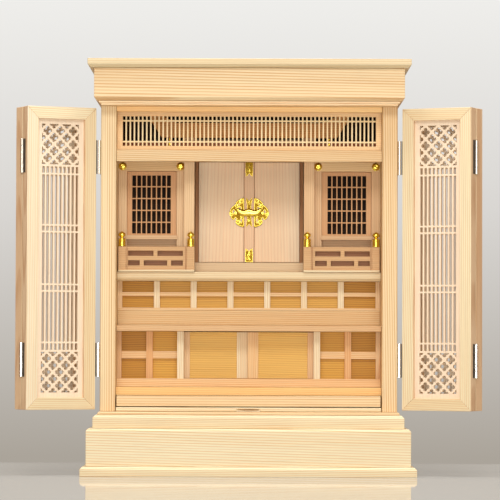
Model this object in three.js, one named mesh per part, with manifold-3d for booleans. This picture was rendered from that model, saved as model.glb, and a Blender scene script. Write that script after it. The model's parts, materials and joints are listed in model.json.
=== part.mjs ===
// A household altar cabinet in pale cypress, with a pair of folding lattice doors, an inner
// shrine with its own small doors, railed bays on both sides of it, and a cupboard underneath.
// Millimetres. The origin is the middle of the underside, +Z is up and the front faces -Y.

import * as THREE from "three";
import { mergeVertices } from "three/addons/utils/BufferGeometryUtils.js";
import Module from "manifold-3d";

const wasm = await Module();
wasm.setup();

// Open line left between two pieces that rest on each other
const SEAT = 0.3;

// How far the parts of one joined solid reach into each other
const LAP = 1;

// Base: four boards, each stepping in from the one below
const FOOT_WIDTH = 500;
const FOOT_DEPTH = 400;
const FOOT_HEIGHT = 14.2;
const FOOT_CHAMFER = 3.6;
const PLINTH_INSET = 8.5;
const PLINTH_HEIGHT = 56.1;
const PLINTH_CHAMFER = 3.2;
const PLINTH_WALL = 15;
const STEP_INSET = 9.5;
const STEP_HEIGHT = 19.8;
const STEP_CHAMFER = 4;
const SILL_INSET = 7;
const SILL_HEIGHT = 4.2;
const SILL_CHAMFER = 1.5;

// Carcass
const BODY_SIDE_SETBACK = 2;
const BODY_FRONT_SETBACK = 26;
const BODY_BACK_SETBACK = 2;
const BODY_HEIGHT = 458.1;
const WALL = 23;
const WALL_EDGE_CHAMFER = 1.4;
const BACK_THICKNESS = 5;

// Cornice
const MOULDING_FRONT_OVERHANG = 26;
const MOULDING_SIDE_OVERHANG = 2;
const MOULDING_HEIGHT = 6;
const MOULDING_COVE = 3.2;
const MOULDING_LIP = 3;
const FASCIA_OVERHANG = 7;
const FASCIA_HEIGHT = 48.6;
const FASCIA_CHAMFER = 4.5;
const FASCIA_WALL = 15;
const CAP_OVERHANG = 9.5;
const CAP_HEIGHT = 12.7;
const CAP_CHAMFER = 4.2;

// Pull-out board, apron and cupboard floor
const SLIDE_SIDE_GAP = 1;
const SLIDE_HEIGHT = 6;
const SLIDE_DEPTH = 290;
const SCOOP_WIDTH = 36;
const SCOOP_HEIGHT = 3.8;
const SCOOP_DEPTH = 7;
const SCOOP_SIDES = 12;
const APRON_GAP = 1.5;
const APRON_HEIGHT = 15.9;
const APRON_SETBACK = 3;
const APRON_THICKNESS = 15;
const APRON_SIDE_GAP = 2;
const CUPBOARD_FLOOR_SETBACK = 20;
const CUPBOARD_FLOOR_THICKNESS = 12.2;

// Lower cupboard
const LOWER_RAIL_HEIGHT = 12.5;
const LOWER_RAIL_FRONT = 48;
const LOWER_RAIL_DEPTH = 28;
const LOWER_POST_HEIGHT = 71.3;
const CENTRE_POST_WIDTH = 9.7;
const CENTRE_POST_DEPTH = 9.5;
const CENTRE_BAY_HALF = 103.8;
const JAMB_THICKNESS = 4.5;
const LOWER_FRAME_FRONT = 58;
const LOWER_FRAME_DEPTH = 12;
const LOWER_FRAME_POST = 9.8;
const LOWER_FRAME_END = 6.6;
const LOWER_MIDRAIL_HEIGHT = 11;
const LOWER_MIDRAIL_RISE = 30.3;
const LOWER_MIDRAIL_SETBACK = 2;
const FIELD_SETBACK = 8;
const FIELD_THICKNESS = 3;
const MIDDLE_SHELF_SETBACK = 23;
const MIDDLE_SHELF_THICKNESS = 8.8;

// Sliding panels of the lower cupboard
const TRACK_CLEARANCE = 0.8;
const SLIDER_THICKNESS = 7;
const SLIDER_OVERLAP = 3;
const SLIDER_STILE = 13.5;
const SLIDER_RAIL = 4;
const SLIDER_FIELD_SETBACK = 3;
const SLIDER_FIELD_RECESS = 1;
const SLIDER_TOP_GAP = 0.9;

// Step board and the row of small panels above it
const RISER_SETBACK = 70;
const RISER_HEIGHT = 22.8;
const RISER_THICKNESS = 10;
const ROW_SETBACK = 73;
const ROW_DEPTH = 12;
const ROW_RAIL_HEIGHT = 3.6;
const ROW_POST_HEIGHT = 40.4;
const ROW_POST_WIDTH = 9;
const ROW_END_WIDTH = 6.4;
const ROW_PITCH = 56.1;
const ROW_BAYS = 7;
const ROW_MIDRAIL_HEIGHT = 5.8;
const ROW_MIDRAIL_RISE = 17.9;
const ROW_MIDRAIL_SETBACK = 2;
const SHRINE_SHELF_SETBACK = 46;
const SHRINE_SHELF_THICKNESS = 13.4;
const SHRINE_SHELF_CHAMFER = 4;

// Railings with their brass finials
const RAILING_SETBACK = 47;
const RAILING_PLINTH_HEIGHT = 4;
const RAILING_PLINTH_DEPTH = 14;
const RAILING_HEIGHT = 34;
const RAILING_THICKNESS = 6;
const RAILING_WALL_POST = 10.4;
const RAILING_END_POST = 11.6;
const RAILING_POST_DEPTH = 10;
const RAILING_WALL_GAP = 2;
const RAILING_BAR = 6.2;
const RAILING_LOWER_BAR = 5.2;
const RAILING_STILE = 4.2;
const RAILING_SLOT_HEIGHT = 8;
const RAILING_INNER = 82.6;
const FINIAL_HEIGHT = 22.4;
const FINIAL_RADIUS = 5.2;
const FINIAL_SIDES = 8;

// Bays at both sides of the shrine
const BAY_SETBACK = 78;
const BAY_DEPTH = 16;
const BAY_WALL_POST = 12.8;
const BAY_INNER_POST = 12.4;
const BAY_INNER_POST_X = 98.4;
const BAY_FRONT_POST = 15.4;
const BAY_FRONT_POST_SETBACK = 61;
const BAY_FRONT_POST_OVERLAP = 0.6;
const BAY_BEAM_SETBACK = 74;
const BAY_BEAM_HEIGHT = 19;
const BAY_HEAD_RISE = 7.9;
const BAY_HEAD_BOARD_INNER = 126;
const BAY_HEAD_BOARD_THICKNESS = 6;
const BAY_HEAD_BOARD_RISE = 26.7;
const BAY_SILL_RISE = 50;
const BAY_SILL_HEIGHT = 6.5;
const BAY_SILL_PROUD = 4;
const BAY_APRON_THICKNESS = 6;
const WINDOW_SETBACK = 84;
const WINDOW_THICKNESS = 7;
const WINDOW_STILE = 6.6;
const WINDOW_BAR = 1.9;
const WINDOW_COLUMNS = 8;
const WINDOW_ROWS = 5;
const BOSS_RADIUS = 5.8;
const BOSS_HEIGHT = 3.4;
const BOSS_SIDES = 8;
const BOSS_MARGIN = 1.5;

// Inner shrine
const THRESHOLD_SETBACK = 98;
const THRESHOLD_HEIGHT = 15.4;
const SHRINE_HALF_WIDTH = 77.5;
const SHRINE_HEAD_RISE = 6.3;
const SHRINE_DEPTH = 130;
const SHRINE_WALL = 6;
const HEADER_SETBACK = 108;
const HEADER_THICKNESS = 8;
const SHRINE_DOOR_SETBACK = 120;
const SHRINE_DOOR_THICKNESS = 8;
const SHRINE_DOOR_GAP = 0.8;
const SHRINE_DOOR_FOOT_GAP = 1;
const BATTEN_WIDTH = 14.8;
const BATTEN_THICKNESS = 5;
const PLATE_THICKNESS = 1.2;
const LOCK_WIDTH = 44;
const LOCK_HEIGHT = 12.5;
const LOCK_THICKNESS = 4;
const LOCK_DROP = 0.5;
const LOCK_PLATE_WIDTH = 61;
const LOCK_PLATE_HEIGHT = 45;
const LOCK_LIFT = 1.2;
const LOCK_STEM_WIDTH = 9;
const LOCK_STEM_HEIGHT = 45;
const TOP_PLATE_HEIGHT = 22;
const FOOT_PLATE_HEIGHT = 21;
const BATTEN_PLATE_WIDTH = 10.8;
const BATTEN_PLATE_MARGIN = 0.5;

// Head of the opening
const LINTEL_SETBACK = 8;
const LINTEL_HEIGHT = 17;
const LINTEL_THICKNESS = 14;
const TRANSOM_SETBACK = 25;
const TRANSOM_THICKNESS = 8;
const TRANSOM_RAIL = 6.6;
const TRANSOM_SLOT_HEIGHT = 45;
const TRANSOM_TOP_RAIL = 12.4;
const TRANSOM_HEAD_GAP = 0.9;
const TRANSOM_STILE = 7;
const TRANSOM_PITCH = 6.208;
const TRANSOM_BAR = 2.1;
const HEAD_RAIL_SETBACK = 5;
const HEAD_RAIL_HEIGHT = 7.4;
const HEAD_RAIL_THICKNESS = 14;
const CANOPY_SETBACK = 62;
const CANOPY_THICKNESS = 9;
const CANOPY_DROP = 42.7;
const CANOPY_HEIGHT = 22.4;
const CANOPY_HALF_FOOT = 133.5;
const CANOPY_FLARE = 16;
const CANOPY_FLARE_HEIGHT = 24.5;
const CANOPY_TIP_HEIGHT = 36;
const CANOPY_TIP_WIDTH = 10;
const CANOPY_TIP_REACH = 38;

// Folding doors: two leaves on each side
const LEAF_THICKNESS = 21;
const LEAF_REST_GAP = 0.6;
const LEAF_FOOT_GAP = 2.5;
const LEAF_HEAD_GAP = 3.4;
const LEAF_HINGE_OFFSET = 4.4;
const LEAF_GAP = 1.4;
const CENTRE_GAP = 1.2;
const LEAF_FRAME = 18;
const LEAF_PANEL_THICKNESS = 8;
const LEAF_PANEL_REVEAL = 5;
const LEAF_PANEL_TONGUE = 2;
const SLAT_GAP = 3.95;
const SLAT_PITCH = 6.65;
const SLAT_GAPS = 9;
const SLAT_MIDDLE_ROW = 76;
const SLAT_ROW_BAND = 12.7;
const SLAT_END_DISTANCE = 101.4;
const BLOCK_PITCH = 20.3;
const BLOCK_OPENING = 13.8;
const BLOCK_END_DISTANCE = 55.9;
const OPEN_ANGLE = 156;
const FOLD_ANGLE = 174;

// Butt hinges of the folding doors
const PIN_SIDE_OFFSET = 2.5;
const FOLD_PIN_PROUD = 0.8;
const KNUCKLE_RADIUS = 2.2;
const KNUCKLE_SIDES = 8;
const HINGE_HEIGHT = 51;
const HINGE_PLATE_WIDTH = 15;
const HINGE_PLATE_THICKNESS = 1.1;
const HINGE_END_DISTANCE = 77;
const KNUCKLE_NOTCH = 2.1;
const NOTCH_END_CLEARANCE = 0.8;

// Materials
function wood(colour, roughness = 0.62) {
  return new THREE.MeshStandardMaterial({ color: colour, roughness, metalness: 0 });
}

function metal(colour, roughness) {
  return new THREE.MeshStandardMaterial({ color: colour, roughness, metalness: 1 });
}

const paleCypress = wood(0xf3d7a4);
const doorCypress = wood(0xf5e3bd);
const baseCypress = wood(0xf2dcb0);
const rosyCypress = wood(0xd9ad80);
const goldenPly = wood(0xdcaa5c);
const shadedBoard = wood(0xa8794a);
const brass = metal(0xdcb24a, 0.22);
const steel = metal(0x8d8a84, 0.35);

// Levels, from the floor up
const plinthZ = FOOT_HEIGHT + SEAT;
const stepZ = plinthZ + PLINTH_HEIGHT + SEAT;
const sillZ = stepZ + STEP_HEIGHT + SEAT;
const bodyZ = sillZ + SILL_HEIGHT + SEAT;
const bodyTop = bodyZ + BODY_HEIGHT;
const mouldingZ = bodyTop + SEAT;
const fasciaZ = mouldingZ + MOULDING_HEIGHT + SEAT;
const capZ = fasciaZ + FASCIA_HEIGHT + SEAT;
const slideZ = bodyZ;
const apronZ = slideZ + SLIDE_HEIGHT + APRON_GAP;
const cupboardFloorZ = apronZ + APRON_HEIGHT + SEAT;
const lowerRailZ = cupboardFloorZ + CUPBOARD_FLOOR_THICKNESS + SEAT;
const lowerPostZ = lowerRailZ + LOWER_RAIL_HEIGHT;
const middleShelfZ = lowerPostZ + LOWER_POST_HEIGHT + SEAT;
const riserZ = middleShelfZ + MIDDLE_SHELF_THICKNESS + SEAT;
const rowZ = riserZ + RISER_HEIGHT + SEAT;
const rowPostZ = rowZ + ROW_RAIL_HEIGHT;
const shrineShelfZ = rowPostZ + ROW_POST_HEIGHT + SEAT;
const shrineFloorZ = shrineShelfZ + SHRINE_SHELF_THICKNESS + SEAT;
const shrineZ = shrineFloorZ + THRESHOLD_HEIGHT + SEAT;
const transomTop = bodyTop - TRANSOM_HEAD_GAP;
const slotZ = transomTop - TRANSOM_TOP_RAIL - TRANSOM_SLOT_HEIGHT;
const transomZ = slotZ - TRANSOM_RAIL;
const lintelZ = transomZ - SEAT - LINTEL_HEIGHT;
const bayTop = lintelZ + BAY_HEAD_RISE;
const bayBeamZ = bayTop - BAY_BEAM_HEIGHT;
const shrineTop = lintelZ + SHRINE_HEAD_RISE;
const canopyZ = bodyTop - CANOPY_DROP;

// Half widths, fronts and backs of the stacked boards
const footHalf = FOOT_WIDTH / 2;
const plinthHalf = footHalf - PLINTH_INSET;
const stepHalf = plinthHalf - STEP_INSET;
const sillHalf = stepHalf - SILL_INSET;
const bodyHalf = sillHalf - BODY_SIDE_SETBACK;
const roomHalf = bodyHalf - WALL;
const boardHalf = roomHalf - SEAT;
const footFront = -FOOT_DEPTH / 2;
const sillFront = footFront + PLINTH_INSET + STEP_INSET + SILL_INSET;
const front = sillFront + BODY_FRONT_SETBACK;
const back = -sillFront - BODY_BACK_SETBACK;
const boardBack = back - BACK_THICKNESS - SEAT;

const group = new THREE.Group();

function addMesh(name, geometry, material, parent = group) {
  const mesh = new THREE.Mesh(geometry, material);
  mesh.name = name;
  parent.add(mesh);
  return mesh;
}

// A closed geometry as a solid that can be joined and cut, and back again
function solidOf(geometry) {
  const bare = geometry.clone();
  bare.deleteAttribute("normal");
  bare.deleteAttribute("uv");
  const merged = mergeVertices(bare, 1e-4);
  return new wasm.Manifold(
    new wasm.Mesh({
      numProp: 3,
      vertProperties: new Float32Array(merged.attributes.position.array),
      triVerts: new Uint32Array(merged.index.array),
    }),
  );
}

function geometryOf(solid) {
  const mesh = solid.getMesh();
  const geometry = new THREE.BufferGeometry();
  geometry.setAttribute("position", new THREE.Float32BufferAttribute(mesh.vertProperties, 3));
  geometry.setIndex(Array.from(mesh.triVerts));
  geometry.computeVertexNormals();
  return geometry;
}

function join(...geometries) {
  return geometryOf(geometries.map(solidOf).reduce((a, b) => a.add(b)));
}

function cut(geometry, ...tools) {
  return geometryOf(tools.map(solidOf).reduce((a, b) => a.subtract(b), solidOf(geometry)));
}

// A block given by its two ends along each axis
function block(x0, x1, y0, y1, z0, z1) {
  const geometry = new THREE.BoxGeometry(x1 - x0, y1 - y0, z1 - z0);
  geometry.translate((x0 + x1) / 2, (y0 + y1) / 2, (z0 + z1) / 2);
  return geometry;
}

// A board whose outline is inset at its lower and upper edges
function board(x0, x1, y0, y1, z0, z1, lower = 0, upper = 0) {
  const levels = [];
  if (lower > 0) {
    levels.push([z0, lower], [z0 + lower, 0]);
  } else {
    levels.push([z0, 0]);
  }
  if (upper > 0) {
    levels.push([z1 - upper, 0], [z1, upper]);
  } else {
    levels.push([z1, 0]);
  }
  return stack(levels.map(([z, inset]) => [z, x0 + inset, x1 - inset, y0 + inset, y1 - inset]));
}

// A solid through rectangles at rising levels, each [z, x0, x1, y0, y1]
function stack(levels) {
  const positions = [];
  for (const [z, x0, x1, y0, y1] of levels) {
    positions.push(x0, y0, z, x1, y0, z, x1, y1, z, x0, y1, z);
  }
  const index = [0, 2, 1, 0, 3, 2];
  for (let level = 0; level < levels.length - 1; level += 1) {
    for (let side = 0; side < 4; side += 1) {
      const a = level * 4 + side;
      const b = level * 4 + ((side + 1) % 4);
      index.push(a, b, b + 4, a, b + 4, a + 4);
    }
  }
  const top = (levels.length - 1) * 4;
  index.push(top, top + 1, top + 2, top, top + 2, top + 3);
  const geometry = new THREE.BufferGeometry();
  geometry.setAttribute("position", new THREE.Float32BufferAttribute(positions, 3));
  geometry.setIndex(index);
  geometry.computeVertexNormals();
  return geometry;
}

// An upright prism over an outline of [x, z] points, from y0 back to y1
function prism(outline, y0, y1) {
  const shape = new THREE.Shape(outline.map(([x, z]) => new THREE.Vector2(x, z)));
  const geometry = new THREE.ExtrudeGeometry(shape, { depth: y1 - y0, bevelEnabled: false });
  geometry.rotateX(Math.PI / 2);
  geometry.translate(0, y1, 0);
  return geometry;
}

// An upright plate: a prism with each hole cut right through it
function plate(outline, holes, y0, y1) {
  return cut(prism(outline, y0, y1), ...holes.map((hole) => prism(hole, y0 - LAP, y1 + LAP)));
}

function rectangle(x0, x1, z0, z1) {
  return [
    [x0, z0],
    [x1, z0],
    [x1, z1],
    [x0, z1],
  ];
}

// A turned piece standing on z0: a profile of [radius, height] pairs
function turned(profile, sides, x, y, z0) {
  const geometry = new THREE.LatheGeometry(
    profile.map(([radius, height]) => new THREE.Vector2(radius, height)),
    sides,
  );
  geometry.rotateX(Math.PI / 2);
  geometry.translate(x, y, z0);
  return geometryOf(solidOf(geometry));
}

function bothSides(make) {
  for (const side of [-1, 1]) {
    make(side, side < 0 ? "left" : "right");
  }
}

// A block given by distances from the middle on one side of the cabinet
function sideBlock(side, near, far, y0, y1, z0, z1) {
  return side < 0 ? block(-far, -near, y0, y1, z0, z1) : block(near, far, y0, y1, z0, z1);
}

// Base
addMesh(
  "foot_board",
  board(-footHalf, footHalf, footFront, -footFront, 0, FOOT_HEIGHT, 0, FOOT_CHAMFER),
  baseCypress,
);

const plinthFront = footFront + PLINTH_INSET;
addMesh(
  "plinth_frame",
  cut(
    board(
      -plinthHalf,
      plinthHalf,
      plinthFront,
      -plinthFront,
      plinthZ,
      plinthZ + PLINTH_HEIGHT,
      0,
      PLINTH_CHAMFER,
    ),
    block(
      -plinthHalf + PLINTH_WALL,
      plinthHalf - PLINTH_WALL,
      plinthFront + PLINTH_WALL,
      -plinthFront - PLINTH_WALL,
      plinthZ - LAP,
      plinthZ + PLINTH_HEIGHT + LAP,
    ),
  ),
  baseCypress,
);

const stepFront = plinthFront + STEP_INSET;
addMesh(
  "step_board",
  board(-stepHalf, stepHalf, stepFront, -stepFront, stepZ, stepZ + STEP_HEIGHT, 0, STEP_CHAMFER),
  baseCypress,
);
addMesh(
  "sill_board",
  board(-sillHalf, sillHalf, sillFront, -sillFront, sillZ, sillZ + SILL_HEIGHT, 0, SILL_CHAMFER),
  paleCypress,
);

// Carcass: side walls with their front edges eased, and the back
bothSides((side, word) => {
  const outline = [
    [roomHalf, front + WALL_EDGE_CHAMFER],
    [roomHalf + WALL_EDGE_CHAMFER, front],
    [bodyHalf - WALL_EDGE_CHAMFER, front],
    [bodyHalf, front + WALL_EDGE_CHAMFER],
    [bodyHalf, back],
    [roomHalf, back],
  ].map(([x, y]) => new THREE.Vector2(side * x, y));
  const geometry = new THREE.ExtrudeGeometry(new THREE.Shape(outline), {
    depth: BODY_HEIGHT,
    bevelEnabled: false,
  });
  geometry.translate(0, 0, bodyZ);
  addMesh(`side_wall_${word}`, geometry, paleCypress);
});
addMesh(
  "back_panel",
  block(-boardHalf, boardHalf, back - BACK_THICKNESS, back, bodyZ, bodyTop),
  paleCypress,
);

// Cornice
const mouldingHalf = bodyHalf + MOULDING_SIDE_OVERHANG;
const mouldingFront = front - MOULDING_FRONT_OVERHANG;
const mouldingBack = back + MOULDING_SIDE_OVERHANG;
const coveTop = mouldingZ + MOULDING_COVE;
addMesh(
  "cornice_moulding",
  stack([
    [
      mouldingZ,
      -mouldingHalf + MOULDING_LIP,
      mouldingHalf - MOULDING_LIP,
      mouldingFront + MOULDING_LIP,
      mouldingBack - MOULDING_LIP,
    ],
    [
      coveTop,
      -mouldingHalf + MOULDING_LIP,
      mouldingHalf - MOULDING_LIP,
      mouldingFront + MOULDING_LIP,
      mouldingBack - MOULDING_LIP,
    ],
    [coveTop, -mouldingHalf, mouldingHalf, mouldingFront, mouldingBack],
    [mouldingZ + MOULDING_HEIGHT, -mouldingHalf, mouldingHalf, mouldingFront, mouldingBack],
  ]),
  paleCypress,
);

const fasciaHalf = mouldingHalf + FASCIA_OVERHANG;
const fasciaFront = mouldingFront - FASCIA_OVERHANG;
const fasciaBack = mouldingBack + FASCIA_OVERHANG;
addMesh(
  "fascia_frame",
  cut(
    board(
      -fasciaHalf,
      fasciaHalf,
      fasciaFront,
      fasciaBack,
      fasciaZ,
      fasciaZ + FASCIA_HEIGHT,
      FASCIA_CHAMFER,
    ),
    block(
      -fasciaHalf + FASCIA_WALL,
      fasciaHalf - FASCIA_WALL,
      fasciaFront + FASCIA_WALL,
      fasciaBack - FASCIA_WALL,
      fasciaZ - LAP,
      fasciaZ + FASCIA_HEIGHT + LAP,
    ),
  ),
  paleCypress,
);
addMesh(
  "cap_board",
  board(
    -fasciaHalf - CAP_OVERHANG,
    fasciaHalf + CAP_OVERHANG,
    fasciaFront - CAP_OVERHANG,
    fasciaBack + CAP_OVERHANG,
    capZ,
    capZ + CAP_HEIGHT,
    CAP_CHAMFER,
  ),
  paleCypress,
);

// Head rail, lattice transom and lintel across the opening
addMesh(
  "head_rail",
  block(
    -boardHalf,
    boardHalf,
    front + HEAD_RAIL_SETBACK,
    front + HEAD_RAIL_SETBACK + HEAD_RAIL_THICKNESS,
    bodyTop - HEAD_RAIL_HEIGHT,
    bodyTop,
  ),
  rosyCypress,
);

const slotCount = Math.floor((2 * (boardHalf - TRANSOM_STILE)) / TRANSOM_PITCH);
const transomSlots = [];
for (let i = 0; i < slotCount; i += 1) {
  const x = (i - (slotCount - 1) / 2) * TRANSOM_PITCH;
  const half = (TRANSOM_PITCH - TRANSOM_BAR) / 2;
  transomSlots.push(rectangle(x - half, x + half, slotZ, slotZ + TRANSOM_SLOT_HEIGHT));
}
addMesh(
  "transom_lattice",
  plate(
    rectangle(-boardHalf, boardHalf, transomZ, transomTop),
    transomSlots,
    front + TRANSOM_SETBACK,
    front + TRANSOM_SETBACK + TRANSOM_THICKNESS,
  ),
  rosyCypress,
);
addMesh(
  "lintel",
  block(
    -boardHalf,
    boardHalf,
    front + LINTEL_SETBACK,
    front + LINTEL_SETBACK + LINTEL_THICKNESS,
    lintelZ,
    lintelZ + LINTEL_HEIGHT,
  ),
  paleCypress,
);

// Board over the shrine front, with flared ends that turn up
const canopyTip = CANOPY_HALF_FOOT + CANOPY_FLARE;
const canopyHalf = [
  [CANOPY_HALF_FOOT, 0],
  [canopyTip, CANOPY_FLARE_HEIGHT],
  [canopyTip, CANOPY_TIP_HEIGHT],
  [canopyTip - CANOPY_TIP_WIDTH, CANOPY_TIP_HEIGHT],
  [canopyTip - CANOPY_TIP_REACH, CANOPY_HEIGHT],
];
addMesh(
  "canopy_board",
  prism(
    [...canopyHalf, ...canopyHalf.map(([x, z]) => [-x, z]).reverse()].map(([x, z]) => [
      x,
      canopyZ + z,
    ]),
    front + CANOPY_SETBACK,
    front + CANOPY_SETBACK + CANOPY_THICKNESS,
  ),
  shadedBoard,
);

// Pull-out board with a finger scoop under its front edge
const slideHalf = roomHalf - SLIDE_SIDE_GAP;
const scoop = new THREE.CylinderGeometry(
  SCOOP_WIDTH / 2,
  SCOOP_WIDTH / 2,
  SCOOP_HEIGHT + LAP,
  SCOOP_SIDES,
);
scoop.rotateX(Math.PI / 2);
scoop.scale(1, SCOOP_DEPTH / (SCOOP_WIDTH / 2), 1);
scoop.translate(0, front, slideZ + (SCOOP_HEIGHT - LAP) / 2);
addMesh(
  "pull_out_board",
  cut(block(-slideHalf, slideHalf, front, front + SLIDE_DEPTH, slideZ, slideZ + SLIDE_HEIGHT), scoop),
  paleCypress,
);
addMesh(
  "apron_board",
  block(
    -roomHalf + APRON_SIDE_GAP,
    roomHalf - APRON_SIDE_GAP,
    front + APRON_SETBACK,
    front + APRON_SETBACK + APRON_THICKNESS,
    apronZ,
    apronZ + APRON_HEIGHT,
  ),
  paleCypress,
);
addMesh(
  "cupboard_floor",
  block(
    -boardHalf,
    boardHalf,
    front + CUPBOARD_FLOOR_SETBACK,
    boardBack,
    cupboardFloorZ,
    cupboardFloorZ + CUPBOARD_FLOOR_THICKNESS,
  ),
  goldenPly,
);

// Lower cupboard: bottom rail, posts, mid rails and the fixed side fields
const lowerTop = lowerPostZ + LOWER_POST_HEIGHT;
const lowerFrameY = front + LOWER_FRAME_FRONT;
const railY = front + LOWER_RAIL_FRONT;
const jambOuter = CENTRE_BAY_HALF + JAMB_THICKNESS;
const midPost = (boardHalf - LOWER_FRAME_END + jambOuter) / 2;
const midrailZ = lowerPostZ + LOWER_MIDRAIL_RISE;
const lowerPieces = [
  block(-boardHalf, boardHalf, railY, railY + LOWER_RAIL_DEPTH, lowerRailZ, lowerPostZ),
];
bothSides((side) => {
  const frameBack = lowerFrameY + LOWER_FRAME_DEPTH;
  const root = lowerPostZ - LAP;
  lowerPieces.push(
    sideBlock(
      side,
      jambOuter - CENTRE_POST_WIDTH,
      jambOuter,
      railY,
      railY + CENTRE_POST_DEPTH,
      root,
      lowerTop,
    ),
    sideBlock(side, CENTRE_BAY_HALF, jambOuter, railY, frameBack, root, lowerTop),
    sideBlock(
      side,
      midPost - LOWER_FRAME_POST / 2,
      midPost + LOWER_FRAME_POST / 2,
      lowerFrameY,
      frameBack,
      root,
      lowerTop,
    ),
    sideBlock(side, boardHalf - LOWER_FRAME_END, boardHalf, lowerFrameY, frameBack, root, lowerTop),
    sideBlock(
      side,
      jambOuter - LAP,
      boardHalf - LAP,
      lowerFrameY + LOWER_MIDRAIL_SETBACK,
      frameBack,
      midrailZ,
      midrailZ + LOWER_MIDRAIL_HEIGHT,
    ),
    sideBlock(
      side,
      jambOuter - LAP,
      boardHalf - LAP,
      lowerFrameY + FIELD_SETBACK,
      lowerFrameY + FIELD_SETBACK + FIELD_THICKNESS,
      root,
      lowerTop,
    ),
  );
});
addMesh("cupboard_frame", join(...lowerPieces), rosyCypress);

// Two sliding panels on tracks one behind the other
const sliderZ = lowerPostZ + SEAT;
const sliderTop = lowerTop - SLIDER_TOP_GAP;
const sliderFar = CENTRE_BAY_HALF - TRACK_CLEARANCE;
function slidingPanel(side, y0) {
  const near = -SLIDER_OVERLAP / 2;
  const y1 = y0 + SLIDER_THICKNESS;
  return join(
    sideBlock(side, near, near + SLIDER_STILE, y0, y1, sliderZ, sliderTop),
    sideBlock(side, sliderFar - SLIDER_STILE, sliderFar, y0, y1, sliderZ, sliderTop),
    sideBlock(side, near + LAP, sliderFar - LAP, y0, y1, sliderZ, sliderZ + SLIDER_RAIL),
    sideBlock(side, near + LAP, sliderFar - LAP, y0, y1, sliderTop - SLIDER_RAIL, sliderTop),
    sideBlock(
      side,
      near + LAP,
      sliderFar - LAP,
      y0 + SLIDER_FIELD_SETBACK,
      y1 - SLIDER_FIELD_RECESS,
      sliderZ + LAP,
      sliderTop - LAP,
    ),
  );
}
const frontTrackY = railY + CENTRE_POST_DEPTH + TRACK_CLEARANCE;
const rearTrackY = frontTrackY + SLIDER_THICKNESS + TRACK_CLEARANCE;
addMesh("sliding_panel_right", slidingPanel(1, frontTrackY), goldenPly);
addMesh("sliding_panel_left", slidingPanel(-1, rearTrackY), goldenPly);

addMesh(
  "middle_shelf",
  block(
    -boardHalf,
    boardHalf,
    front + MIDDLE_SHELF_SETBACK,
    boardBack,
    middleShelfZ,
    middleShelfZ + MIDDLE_SHELF_THICKNESS,
  ),
  paleCypress,
);

// Step board and the row of small panels on it
const rowY = front + ROW_SETBACK;
addMesh(
  "step_riser",
  block(
    -boardHalf,
    boardHalf,
    front + RISER_SETBACK,
    front + RISER_SETBACK + RISER_THICKNESS,
    riserZ,
    riserZ + RISER_HEIGHT,
  ),
  paleCypress,
);
const rowTop = rowPostZ + ROW_POST_HEIGHT;
const rowMidZ = rowPostZ + ROW_MIDRAIL_RISE;
const rowPieces = [
  block(-boardHalf, boardHalf, rowY, rowY + ROW_DEPTH, rowZ, rowPostZ),
  block(
    -boardHalf + LAP,
    boardHalf - LAP,
    rowY + ROW_MIDRAIL_SETBACK,
    rowY + ROW_DEPTH,
    rowMidZ,
    rowMidZ + ROW_MIDRAIL_HEIGHT,
  ),
  block(
    -boardHalf + LAP,
    boardHalf - LAP,
    rowY + FIELD_SETBACK,
    rowY + FIELD_SETBACK + FIELD_THICKNESS,
    rowPostZ - LAP,
    rowTop,
  ),
];
bothSides((side) => {
  rowPieces.push(
    sideBlock(side, boardHalf - ROW_END_WIDTH, boardHalf, rowY, rowY + ROW_DEPTH, rowPostZ - LAP, rowTop),
  );
});
for (let i = 1; i < ROW_BAYS; i += 1) {
  const x = (i - ROW_BAYS / 2) * ROW_PITCH;
  rowPieces.push(
    block(
      x - ROW_POST_WIDTH / 2,
      x + ROW_POST_WIDTH / 2,
      rowY,
      rowY + ROW_DEPTH,
      rowPostZ - LAP,
      rowTop,
    ),
  );
}
addMesh("panel_row", join(...rowPieces), rosyCypress);

// Shrine shelf, bevelled under its front edge
const shelfY = front + SHRINE_SHELF_SETBACK;
addMesh(
  "shrine_shelf",
  stack([
    [shrineShelfZ, -boardHalf, boardHalf, shelfY + SHRINE_SHELF_CHAMFER, boardBack],
    [shrineShelfZ + SHRINE_SHELF_CHAMFER, -boardHalf, boardHalf, shelfY, boardBack],
    [shrineShelfZ + SHRINE_SHELF_THICKNESS, -boardHalf, boardHalf, shelfY, boardBack],
  ]),
  rosyCypress,
);

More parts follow.
